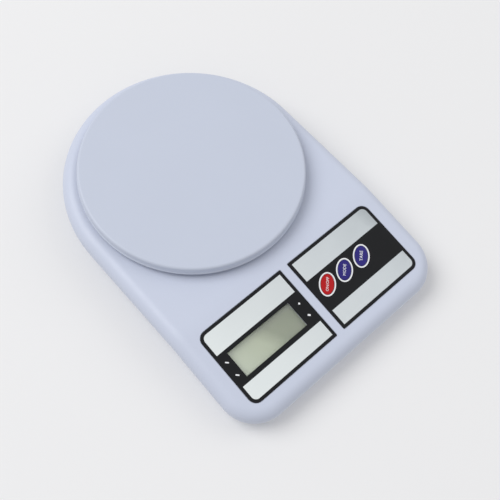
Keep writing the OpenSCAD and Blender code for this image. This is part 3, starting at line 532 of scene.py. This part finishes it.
cover = {
    "arcSteps": 48, "edgeSteps": 14, "bendSteps": 8, "seamRound": 0.3, "seamBevel": 0.9, "seamSteps": 2,
    "crown": 0.5, "under": 3, "rimInset": 1.1, "rimHeight": 1.8, "rimUnder": 2, "through": (-4, 1),
    "recessDepth": 0.35, "recessFlare": 0.22, "recessR": 0.9, "recessAbove": 3,
    "slotX": -27.5, "slotW": 31, "slotL": 16.7, "slotSteps": 12, "bossR": 4.2, "bossHole": 1.5, "sharp": 28,
    "bosses": ((34.75, 93.69, 12, 25.2), (69.5, -40, 12, 24.6), (44, -107.5, 8, 15.4)),
}
labels = {
    "width": 66.5, "length": 52.3, "split": 6, "radius": 5.5, "play": 0.15, "run": 85, "thickness": 0.5,
    "border": 2.1, "bandStart": 16, "bandEnd": 39.2, "edge": 0.12, "edgeSteps": 2, "innerR": 0.6,
    "innerSteps": 4, "cornerSteps": 8, "wallAngle": math.radians(80), "rimAngle": math.radians(60),
    "through": (-2, 2), "sharp": 15,
}
labelV = (labels["run"] - body["bendRun"]) / math.cos(body["slope"])
labelX = labels["split"] / 2
filmTop = labels["thickness"] - cover["recessDepth"]
window = {
    "width": 48.5, "length": 17.5, "x": 8, "v": 18.5, "lap": 2.2, "lapPlay": 0.15, "lens": 1.2,
    "cornerR": 1, "cornerSteps": 5, "pocketTop": 0.5, "sightPlay": 0.5, "sightUnder": 1, "sightTop": 0.4,
}
windowX = -labelX - labels["width"] + window["x"] + window["width"] / 2
windowY = -labelV - window["v"] - window["length"] / 2
keys = {
    "count": 3, "a": 6.6, "b": 4.2, "tilt": math.radians(45), "pitch": 14.8, "first": 11.1, "v": 25.2,
    "steps": 64, "gap": 0.2, "proud": 0.35, "edgeW": 0.55, "edgeH": 0.3, "edgeSteps": 5, "domeW": 0.7,
    "domeH": 0.02, "crown": 0.5, "reach": 0.15, "flange": 1.2, "flangeH": 1, "flangeLap": 0.01,
    "flangeEdge": 0.2, "flangeSteps": 2, "flangeAngle": math.radians(40), "stemR": 2, "stemLow": 1.75,
    "stemHigh": 0.9, "stemEdge": 0.05, "stemSteps": 24, "sharp": 32,
}
keySpots = [
    (labelX + keys["first"] + i * keys["pitch"], -labelV - keys["v"]) for i in range(keys["count"])
]
boardPosts = {"left": 28.65, "right": 9.6, "v": 18.8, "radius": 2.8, "hole": 1.05, "low": -9.2, "high": -1.6}
boardPostX = (
    windowX - boardPosts["left"], -labelX,
    labelX + keys["first"] + (keys["count"] - 1) * keys["pitch"] + boardPosts["right"],
)


# Round body outline drawn in by an inset, laid out flat as if the deck had no bend
def bodyFace(inset, z):
    rear, front = halfWidth - inset, body["cornerR"] - inset
    low = (-halfWidth + inset, bendY - slopeRun + inset)
    high = (halfWidth - inset, body["length"] / 2 - inset)
    return newFace(low, high, (front, front, rear, rear), z, cover["arcSteps"])


# Closed pillow shape on the seam
def pillow(inset, low, bottomRound):
    bm, face = bodyFace(inset, max(low, 0) + bottomRound)
    under = giveDepth(bm, [face], bottomRound - low)[0]
    if bottomRound:
        bevelEdges(bm, list(under.edges), bottomRound * cover["seamBevel"], cover["seamSteps"])
    radius = body["edgeR"] - inset
    roundOver(bm, face, radius, radius - bottomRound, cover["edgeSteps"])
    drawIn(bm, face, cover["crown"], 0)
    return closeUp(bm)


# Cutter for a label recess, flared where it breaks the surface
def flaredCutter(bm, face):
    flare = cover["recessFlare"]
    giveDepth(bm, [face], -cover["recessAbove"])
    drawIn(bm, face, flare, -flare)
    floor = bmesh.ops.extrude_discrete_faces(bm, faces=[face])["faces"][0]
    liftFace(bm, floor, flare - cover["recessDepth"])
    return closeUp(bm)


# Label outline grown by play, with its round corners on the outer side; side -1 is the display label
def labelFace(side, play, z, innerR=0):
    r = labels["radius"] + play
    radii = (r, innerR, innerR, r) if side < 0 else (innerR, r, r, innerR)
    x0 = -labelX - labels["width"] if side < 0 else labelX
    low = (x0 - play, -labelV - labels["length"] - play)
    high = (x0 + labels["width"] + play, -labelV + play)
    return newFace(low, high, radii, z, labels["cornerSteps"])


# Place in the bent body of a point of the flat layout
def bentPoint(co):
    x, y, h = co
    slope, r = body["slope"], body["softBend"]
    if y >= bendY + bendCut:
        return Vector((x, y, body["seamZ"] + h))
    if y <= bendY - bendCut:
        t = bendY - y
        return Vector((
            x, bendY - t * math.cos(slope) - h * math.sin(slope),
            body["seamZ"] - t * math.sin(slope) + h * math.cos(slope),
        ))
    turn = slope * (bendY + bendCut - y) / (2 * bendCut)
    return Vector((
        x, bendY + bendCut - (r + h) * math.sin(turn), body["seamZ"] - r + (r + h) * math.cos(turn),
    ))


def bendBody(bm):
    for i in range(cover["bendSteps"] + 1):
        y = bendY - bendCut + 2 * bendCut * i / cover["bendSteps"]
        cutAcross(bm, (0, y, 0), (0, 1, 0), near["solid"])
    for vert in bm.verts:
        vert.co = bentPoint(vert.co)
    return closeUp(bm)


def onDeck(bm, x=0, y=0):
    return moved(bm, Matrix.Translation((x, bendY + y, body["edgeR"])))


# Turned like the keys and set at a place on the labels
def keyFrame(x, y, z=0):
    return Matrix.Translation((x, y, z)) @ Matrix.Rotation(keys["tilt"], 4, "Z")


def keyPrism(z0, z1, index):
    bm, face = newDisc(keys["a"] + keys["gap"], keys["b"] + keys["gap"], 0, keys["steps"])
    return moved(prism(bm, face, z0, z1), keyFrame(*keySpots[index]))


def makeCover():
    solid = pillow(0, 0, cover["seamRound"])
    rim, rimFace = bodyFace(cover["rimInset"], cover["rimHeight"])
    giveDepth(rim, [rimFace], cover["rimHeight"] + cover["rimUnder"])
    cutters = [pillow(body["wall"], -cover["under"], 0), closeUp(rim)]
    for side in (-1, 1):
        bm, face = labelFace(side, labels["play"] + cover["recessFlare"], 0, cover["recessR"])
        cutters.append(onDeck(flaredCutter(bm, face)))
    halfX, halfY = window["width"] / 2, window["length"] / 2
    lap, play = window["lap"] + window["lapPlay"], window["sightPlay"]
    for grow, low, top in (
        (lap, -cover["recessDepth"] - window["lens"], window["pocketTop"]),
        (play, -body["wall"] - window["sightUnder"], window["sightTop"]),
    ):
        bm = block(halfX + grow, halfY + grow, window["cornerR"], low, top, window["cornerSteps"])
        cutters.append(onDeck(bm, windowX, windowY))
    for index in range(keys["count"]):
        cutters.append(onDeck(keyPrism(*cover["through"], index)))
    slotR = cover["slotL"] / 2
    bm = block(cover["slotW"] / 2, slotR, slotR, *cover["through"], cover["slotSteps"])
    cutters.append(moved(bm, Matrix.Translation((cover["slotX"], plateY, body["edgeR"]))))
    parts = [bendBody(carved(solid, cutters))]
    low, high = boardPosts["low"], boardPosts["high"]
    for x in boardPostX:
        for side in (-1, 1):
            center = (x, windowY + side * boardPosts["v"])
            parts.append(moved(tube(boardPosts["hole"], boardPosts["radius"], low, high, center), deckFrame))
    for x, y, low, high in cover["bosses"]:
        for side in (-1, 1):
            parts.append(tube(cover["bossHole"], cover["bossR"], low, high, (side * x, y)))
    return joined(parts)


addPiece(makeCover(), "topShell", "base", [looks["shell"]], ["top_cover"], cover["sharp"])
print("top cover made")


# Weighing platform

plate = {
    "radius": 71.95, "lip": 72.5, "low": 29.5, "top": 36, "round": 1.7, "wall": 2.2, "under": 33.4,
    "flat": 6, "shoulder": 0.6, "neck": 1.45, "swell": 0.12, "swellZ": 1.15, "lipR": 0.4, "lipZ": 0.6,
    "lipFoot": 0.5, "chamfer": 0.3, "fillet": 0.8, "filletMid": 0.25, "steps": 160,
    "ribR": 66.5, "ribW": 1.6, "ribH": 2, "ribEdge": 0.3, "ribEdgeH": 0.2, "sink": 0.5, "ribSteps": 128,
    "spokes": 8, "spokeHalf": 0.8, "spokeStart": 52, "spokeLate": 55,
    "pegX": 42, "pegY": 27, "pegR": 3, "pegLow": 31.7, "pegEdge": 0.6, "pegSteps": 32,
    "roundSteps": 8, "lipTurn": 60, "lipSteps": 4, "sharp": 35,
}


def makePlatform():
    r, low, top, under = plate["radius"], plate["low"], plate["top"], plate["under"]
    inner, edge, lip = r - plate["wall"], r - plate["round"], plate["lip"]
    outline = [(0, top), (edge - plate["flat"], top), (edge - plate["shoulder"], top)]
    outline += arc(edge, top - plate["round"], plate["round"], 90, 0, plate["roundSteps"])
    outline += [(r, low + plate["neck"]), (r + plate["swell"], low + plate["swellZ"])]
    lipTurn, lipR = plate["lipTurn"], plate["lipR"]
    outline += arc(lip - lipR, low + plate["lipZ"], lipR, lipTurn, -lipTurn, plate["lipSteps"])
    outline += [(lip - plate["lipFoot"], low), (inner + plate["chamfer"], low)]
    outline += [(inner, low + plate["chamfer"]), (inner, under - plate["fillet"])]
    outline += [(inner - plate["filletMid"], under - plate["filletMid"]), (inner - plate["fillet"], under)]
    outline.append((0, under))
    ribR, ribIn = plate["ribR"], plate["ribR"] - plate["ribW"]
    ribLow, ribTop = under - plate["ribH"], under + plate["sink"]
    ribSide = ribLow + plate["ribEdgeH"]
    rib = [
        (ribIn, ribTop), (ribIn, ribSide), (ribIn + plate["ribEdge"], ribLow),
        (ribR - plate["ribEdge"], ribLow), (ribR, ribSide), (ribR, ribTop), (ribIn, ribTop),
    ]
    parts = [turned(outline, plate["steps"], (0, plateY)), turned(rib, plate["ribSteps"], (0, plateY))]
    half = plate["spokeHalf"]
    for turn in range(plate["spokes"]):
        start = plate["spokeStart"] if turn % 4 else plate["spokeLate"]
        bm, face = newFace((start, -half), (ribR - half, half), (0, 0, 0, 0), 0)
        prism(bm, face, ribLow, ribTop)
        angle = math.tau * turn / plate["spokes"]
        parts.append(moved(bm, Matrix.Translation((0, plateY, 0)) @ Matrix.Rotation(angle, 4, "Z")))
    pegR, pegLow, pegEdge = plate["pegR"], plate["pegLow"], plate["pegEdge"]
    peg = [(0, pegLow), (pegR - pegEdge, pegLow), (pegR, pegLow + pegEdge), (pegR, under + pegEdge)]
    peg.append((0, under + pegEdge))
    for x in (-plate["pegX"], plate["pegX"]):
        for y in (-plate["pegY"], plate["pegY"]):
            parts.append(turned(peg, plate["pegSteps"], (x, plateY + y)))
    return joined(parts)


dish = makePlatform()
addPiece(dish, "platformDish", "platform", [looks["plate"]], ["weighing_platform"], plate["sharp"])
print("platform made")


# Labels

# Printed film: black border and middle band, silver above and below
def makeLabel(side):
    bm, face = labelFace(side, 0, filmTop)
    for border in drawIn(bm, face, labels["border"], 0):
        border.material_index = 1
    bandRear, bandFront = -labelV - labels["bandStart"], -labelV - labels["bandEnd"]
    halfX, halfY = window["width"] / 2, window["length"] / 2
    for y in (bandRear, bandFront):
        cutAcross(bm, (0, y, 0), (0, 1, 0), near["film"])
    if side < 0:
        for x in (windowX - halfX, windowX + halfX):
            cutAcross(bm, (x, 0, 0), (1, 0, 0), near["film"])
        for y in (windowY - halfY, windowY + halfY):
            cutAcross(bm, (0, y, 0), (0, 1, 0), near["film"])
    hole = []
    for f in bm.faces:
        center = f.calc_center_median()
        if bandFront < center.y < bandRear:
            f.material_index = 1
        if side < 0 and abs(center.x - windowX) < halfX and abs(center.y - windowY) < halfY:
            hole.append(f)
    if hole:
        bmesh.ops.delete(bm, geom=hole, context="FACES")
    giveDepth(bm, bm.faces[:], labels["thickness"])
    closeUp(bm)
    innerCorners = [
        e for e in bm.edges
        if e.calc_face_angle(0) > labels["wallAngle"]
        and abs(e.verts[0].co.z - e.verts[1].co.z) > labels["thickness"] / 2
        and abs(abs(e.verts[0].co.x) - labelX) < near["corner"]
    ]
    bevelEdges(bm, innerCorners, labels["innerR"], labels["innerSteps"])
    topEdges = [
        e for e in bm.edges
        if all(v.co.z > filmTop - near["corner"] for v in e.verts)
        and e.calc_face_angle(0) > labels["rimAngle"]
    ]
    bevelEdges(bm, topEdges, labels["edge"], labels["edgeSteps"])
    if side > 0:
        bm = carved(bm, [keyPrism(*labels["through"], index) for index in range(keys["count"])])
    return bm


# Small bars beside the display: side, v, width and height of each
marks = {
    "outer": -labelX - labels["width"] + 4.2, "inner": -labelX - 5, "radius": 0.25, "steps": 3,
    "sunk": 0.05, "proud": 0.03, "sharp": 32,
    "bars": (
        ("outer", 22.6, 2.3, 0.8), ("outer", 32, 2.3, 0.8),
        ("inner", 23.2, 1.2, 1.2), ("inner", 32.3, 1.9, 1.1),
    ),
}


def makeMarks():
    parts = []
    low, high = filmTop - marks["sunk"], filmTop + marks["proud"]
    for side, v, w, h in marks["bars"]:
        bm = block(w / 2, h / 2, marks["radius"], low, high, marks["steps"])
        place = Matrix.Translation((marks[side], -labelV - v, 0)) @ Matrix.Rotation(-keys["tilt"], 4, "Z")
        parts.append(moved(bm, place))
    return joined(parts)


rings = {"width": 1.0, "lap": 0.12, "proud": 0.04, "depth": 0.08, "steps": 72, "sharp": 32}


# Thin raised rings round the keys
def makeRings():
    parts = []
    grow = keys["gap"] + rings["width"]
    for x, y in keySpots:
        bm, face = newDisc(keys["a"] + grow, keys["b"] + grow, filmTop + rings["proud"], rings["steps"])
        drawIn(bm, face, rings["width"] - rings["lap"], 0)
        bmesh.ops.delete(bm, geom=[face], context="FACES_ONLY")
        giveDepth(bm, bm.faces[:], rings["depth"])
        parts.append(moved(closeUp(bm), keyFrame(x, y)))
    return joined(parts)


filmLooks = [looks["silver"], looks["black"]]
printLooks = [looks["whitePrint"]]
for bm, name, pieceLooks, replaced, sharp in (
    (makeLabel(-1), "displayFilm", filmLooks, ["display_label"], labels["sharp"]),
    (makeLabel(1), "keyFilm", filmLooks, ["button_label"], labels["sharp"]),
    (makeMarks(), "displayMarks", printLooks, (), marks["sharp"]),
    (makeRings(), "keyRings", printLooks, (), rings["sharp"]),
):
    addPiece(moved(bm, deckFrame), name, "base", pieceLooks, replaced, sharp)
print("labels made")


# Keys

keyTop = filmTop + keys["proud"]
keyLow = -body["wall"] - keys["reach"]


# Domed oval cap with a flange under the deck and a stem that meets its plunger
def makeKey(index):
    shoulder = keyTop - keys["edgeH"] - keys["domeH"]
    cap, face = newDisc(keys["a"], keys["b"], shoulder, keys["steps"])
    giveDepth(cap, [face], shoulder - keyLow)
    roundOver(cap, face, keys["edgeW"], keys["edgeH"], keys["edgeSteps"])
    drawIn(cap, face, keys["domeW"], keys["domeH"])
    drawIn(cap, face, keys["crown"], 0)
    closeUp(cap)
    flange, face = newDisc(keys["a"] + keys["flange"], keys["b"] + keys["flange"], 0, keys["steps"])
    prism(flange, face, keyLow - keys["flangeH"], keyLow + keys["flangeLap"])
    edges = [e for e in flange.edges if e.is_manifold and e.calc_face_angle(0) > keys["flangeAngle"]]
    bevelEdges(flange, edges, keys["flangeEdge"], keys["flangeSteps"])
    r, low, high, edge = keys["stemR"], keyLow - keys["stemLow"], keyLow - keys["stemHigh"], keys["stemEdge"]
    stem = turned([(0, low), (r, low), (r, high - edge), (r - edge, high), (0, high)], keys["stemSteps"])
    return moved(joined([cap, flange, stem]), deckFrame @ keyFrame(*keySpots[index]))


legend = {"extrude": 0.03, "resolution": 3, "proud": 0.01}


# Plain word for what a key does, along its long axis
def makeLegend(word, size, index):
    curve = bpy.data.curves.new("legend", "FONT")
    curve.body = word
    curve.size = size
    curve.align_x = "CENTER"
    curve.align_y = "CENTER"
    curve.extrude = legend["extrude"]
    curve.resolution_u = legend["resolution"]
    return moved(fromCurve(curve), deckFrame @ keyFrame(*keySpots[index], keyTop + legend["proud"]))


keyPieces = (
    ("power", "red", "red_key", "ON/OFF", 2.5),
    ("mode", "blue", "blue_key", "MODE", 2.7),
    ("tare", "blue", "blue_key", "TARE", 2.9),
)
for index, (key, look, keySlot, word, size) in enumerate(keyPieces):
    rides = key + "_key"
    addPiece(makeKey(index), key + "Cap", rides, [looks[look]], [key + "_button"], keys["sharp"])
    addPiece(makeLegend(word, size, index), key + "Legend", rides, printLooks, (), keys["sharp"])
print("keys made")


# Feet

foot = {
    "spots": ((43.84, 77.34), (64, -94)), "steps": 48, "sharp": 32,
    "outline": [
        (0, 0.35), (3.2, 0.35), (3.6, 0), (5.8, 0), (6.4, 0.18), (6.75, 0.5), (6.9, 0.9),
        (6.98, 1.6), (6.98, 4.15), (0, 4.15),
    ],
}
pads = [turned(foot["outline"], foot["steps"], (side * x, y)) for side in (-1, 1) for x, y in foot["spots"]]
addPiece(joined(pads), "rubberPads", "base", [looks["rubber"]], ["rubber_feet"], foot["sharp"])
print("feet made")


# Load cell

bar = {
    "bend": 14, "cuts": 14, "y": 33.5, "z": 13.85, "sharp": 30,
    "weld": 1e-6, "flatAngle": math.radians(1), "cutDist": 1e-7,
}


# Merged copy of a solid with extra cuts along its length
def makeBending(node, name, look):
    bm = bmesh.new()
    bm.from_mesh(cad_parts[node].data)
    bmesh.ops.remove_doubles(bm, verts=bm.verts, dist=bar["weld"])
    bmesh.ops.dissolve_limit(bm, angle_limit=bar["flatAngle"], verts=bm.verts, edges=bm.edges)
    for i in range(bar["cuts"] + 1):
        x = (-bar["bend"] + 2 * bar["bend"] * i / bar["cuts"]) * mm
        cutAcross(bm, (x, 0, 0), (1, 0, 0), bar["cutDist"])
    bmesh.ops.triangulate(bm, faces=bm.faces)
    bmesh.ops.recalc_face_normals(bm, faces=bm.faces)
    obj = smoothObject(bm, name, bar["sharp"])
    obj.data.materials.append(looks[look])
    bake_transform(obj)
    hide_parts(node)


makeBending("load_cell", "loadBar", "aluminium")
makeBending("gauge_sealant", "gaugeSeal", "sealant")
print("load cell made")


# Battery bay; z of the outline runs along a cell, from its flat end

bay = {"x": 28.3, "y": -16.0, "pitch": 15.2, "z": 12.65, "spring": 5.6, "plate": 0.4}
cell = {
    "steps": 56, "flatTo": 0.45, "bandFrom": 40.2, "bandTo": 48.3, "capFrom": 48.5, "sharp": 32,
    "outline": [
        (0, 0), (5.65, 0), (5.85, 0.25), (6.55, 0.3), (7.1, 0.5), (7.25, 0.9), (7.25, 40.2), (7.25, 48.1),
        (6.95, 48.6), (6.25, 48.75), (3.15, 48.75), (2.75, 49.1), (2.75, 49.9), (2.45, 50.2), (0, 50.2),
    ],
}
coil = {"wire": 0.7, "wideR": 4.6, "tipR": 2.6, "turns": 3.6, "rest": 0.12, "climb": 0.76, "steps": 132}
strand = {"resolution": 3, "routeSteps": 8, "sharp": 50}


# Frame of a cell, with z from its spring to its knob
def cellFrame(index):
    return (
        Matrix.Translation((0, bay["y"] - index * bay["pitch"], bay["z"]))
        @ Matrix.Rotation(math.pi * (1 - index), 4, "Z")
        @ Matrix.Translation((-bay["x"] + bay["plate"] + bay["spring"], 0, 0))
        @ Matrix.Rotation(math.pi / 2, 4, "Y")
    )


def makeCells():
    parts = []
    for index in (0, 1):
        bm = turned(cell["outline"], cell["steps"])
        for f in bm.faces:
            z = f.calc_center_median().z
            if cell["bandFrom"] < z < cell["bandTo"]:
                f.material_index = 1
            elif z < cell["flatTo"] or z > cell["capFrom"]:
                f.material_index = 2
        parts.append(moved(bm, cellFrame(index)))
    return joined(parts)


# Round wire along a list of points, as a closed tube
def wireMesh(points, diameter, name):
    curve = bpy.data.curves.new(name, "CURVE")
    curve.dimensions = "3D"
    curve.bevel_depth = diameter / 2
    curve.bevel_resolution = strand["resolution"]
    curve.use_fill_caps = True
    line = curve.splines.new("POLY")
    line.points.add(len(points) - 1)
    for point, co in zip(line.points, points):
        point.co = (*co, 1)
    return fromCurve(curve)


# Conical spring under the flat end of a cell, with a level turn at both ends
def springPoints():
    half = coil["wire"] / 2
    points = []
    for i in range(coil["steps"] + 1):
        s = i / coil["steps"]
        rise = min(max((s - coil["rest"]) / coil["climb"], 0), 1)
        r = coil["wideR"] + (coil["tipR"] - coil["wideR"]) * s
        a = math.tau * coil["turns"] * s
        z = -bay["spring"] + half + (bay["spring"] - 2 * half) * rise
        points.append((r * math.cos(a), r * math.sin(a), z))
    return points


cellLooks = [looks["cell"], looks["cellBand"], looks["steel"]]
addPiece(makeCells(), "cellPair", "base", cellLooks, ["battery_cells"], cell["sharp"])
springs = joined([moved(wireMesh(springPoints(), coil["wire"], "coil"), cellFrame(i)) for i in (0, 1)])
addPiece(springs, "contactCoils", "base", [looks["steel"]], ["contact_springs"], strand["sharp"])
print("battery bay made")


# Wires

wires = {
    "red": {
        "d": 1.4, "node": "battery_wire_red", "look": "wireRed", "slot": "red_wire",
        "route": [
            (-32.5, -16, 15.85), (-37, -19, 15), (-44, -34, 13), (-52, -46, 11), (-55, -57, 11),
            (-55, -60, 13.6),
        ],
    },
    "black": {
        "d": 1.4, "node": "battery_wire_black", "look": "wireBlack", "slot": "black_wire",
        "route": [
            (-32.5, -31.2, 15.85), (-36, -36, 14), (-41, -44, 12), (-47, -54, 11), (-48, -60, 13.6),
        ],
    },
    "cellCable": {
        "d": 2.4, "node": "load_cell_cable", "look": "wireWhite", "slot": "white_wire",
        "route": [
            (0, 25.95, 13.85), (-6, 20, 12), (-24, 10, 7), (-42, -4, 6.6), (-47, -24, 6.6), (-42, -44, 8),
            (-38, -56, 10), (-37, -60, 13.4),
        ],
    },
}


# Smooth curve through all the points of a route
def smoothRoute(route):
    p = [Vector(q) for q in route]
    out = []
    for i in range(len(p) - 1):
        a, b, c, d = p[max(i - 1, 0)], p[i], p[i + 1], p[min(i + 2, len(p) - 1)]
        for k in range(strand["routeSteps"]):
            s = k / strand["routeSteps"]
            out.append(0.5 * (
                2 * b + (c - a) * s + (2 * a - 5 * b + 4 * c - d) * s * s + (3 * b - a - 3 * c + d) * s ** 3
            ))
    return out + [p[-1]]


for name, wire in wires.items():
    points = smoothRoute(wire["route"])
    bm = wireMesh(points, wire["d"], name)
    wireLooks = [looks[wire["look"]]]
    piece = addPiece(bm, name + "Lead", "base", wireLooks, [wire["node"]], strand["sharp"])


# Stage, light and camera; lamps are placed in metres

stage = {
    "floor": (0.86, 0.86, 0.87), "floorPale": 1.01, "floorHalf": 2500, "floorZ": -0.02, "floorScale": 3,
    "floorRough": 0.8, "floorSpecular": 0.1, "world": 0.57, "backdrop": 0.9,
}
lamps = {
    "keyLamp": {"place": (-1.6, 2.2, 3.2), "size": 3.2, "power": 90},
    "fillLamp": {"place": (2.8, -0.9, 2.6), "size": 2.8, "power": 16},
}
view = {
    "aim": (-8, -30.8, 26), "distance": 495, "azimuth": -50, "elevation": 64.5, "roll": 9,
    "lens": 58, "sensor": 36, "clip": 0.01,
}


# Pale floor that is clear from below and to light that bounces
def makeFloor():
    half = stage["floorHalf"]
    bm = newFace((-half, -half), (half, half), (0, 0, 0, 0), stage["floorZ"])[0]
    bmesh.ops.scale(bm, verts=bm.verts, vec=(mm, mm, mm))
    floor = meshObject(bm, "floor")
    material, tree, shader, place = startMaterial("paleFloor")
    noise = addNoise(tree, place, stage["floorScale"], detail=2)
    stops = [(0.2, stage["floor"]), (0.8, tinted(stage["floor"], stage["floorPale"]))]
    tree.links.new(addRamp(tree, noise, stops), shader.inputs["Base Color"])
    shader.inputs["Roughness"].default_value = stage["floorRough"]
    shader.inputs["Specular IOR Level"].default_value = stage["floorSpecular"]
    facing = tree.nodes.new("ShaderNodeNewGeometry")
    rayKind = tree.nodes.new("ShaderNodeLightPath")
    clear = tree.nodes.new("ShaderNodeBsdfTransparent")
    mix = tree.nodes.new("ShaderNodeMixShader")
    either = addMath(tree, "MAXIMUM", facing.outputs["Backfacing"], rayKind.outputs["Ray Depth"])
    either.use_clamp = True
    tree.links.new(either.outputs["Value"], mix.inputs["Fac"])
    tree.links.new(shader.outputs["BSDF"], mix.inputs[1])
    tree.links.new(clear.outputs["BSDF"], mix.inputs[2])
    tree.links.new(mix.outputs["Shader"], tree.nodes["Material Output"].inputs["Surface"])
    floor.data.materials.append(material)


# White surroundings, brighter where they are seen or reflected than where they light
def makeWorld():
    world = bpy.data.worlds.new("studio")
    bpy.context.scene.world = world
    world.use_nodes = True
    tree = world.node_tree
    background = tree.nodes["Background"]
    background.inputs["Color"].default_value = (1, 1, 1, 1)
    rayKind = tree.nodes.new("ShaderNodeLightPath")
    seen = addMath(tree, "MAXIMUM", rayKind.outputs["Is Camera Ray"], rayKind.outputs["Is Glossy Ray"])
    strength = addRange(tree, seen.outputs["Value"], stage["world"], stage["backdrop"], 0, 1)
    tree.links.new(strength, background.inputs["Strength"])


def addLamp(name, lamp):
    light = bpy.data.lights.new(name, "AREA")
    light.shape = "DISK"
    light.size = lamp["size"]
    light.energy = lamp["power"]
    obj = bpy.data.objects.new(name, light)
    obj.location = lamp["place"]
    obj.rotation_euler = (-Vector(lamp["place"])).to_track_quat("-Z", "Y").to_euler()
    bpy.context.scene.collection.objects.link(obj)


def addCamera():
    az, el, roll = (math.radians(view[key]) for key in ("azimuth", "elevation", "roll"))
    outward = Vector((math.sin(az) * math.cos(el), -math.cos(az) * math.cos(el), math.sin(el)))
    data = bpy.data.cameras.new("camera")
    data.lens = view["lens"]
    data.sensor_width = view["sensor"]
    data.clip_start = view["clip"]
    camera = bpy.data.objects.new("camera", data)
    aim = Vector(view["aim"]) * mm
    turn = (-outward).to_track_quat("-Z", "Y").to_matrix() @ Matrix.Rotation(roll, 3, "Z")
    camera.matrix_world = Matrix.Translation(aim + outward * view["distance"] * mm) @ turn.to_4x4()
    bpy.context.scene.collection.objects.link(camera)
    bpy.context.scene.camera = camera


makeFloor()
makeWorld()
for name, lamp in lamps.items():
    addLamp(name, lamp)
addCamera()
bpy.context.scene.view_settings.view_transform = "Standard"
print("stage made")
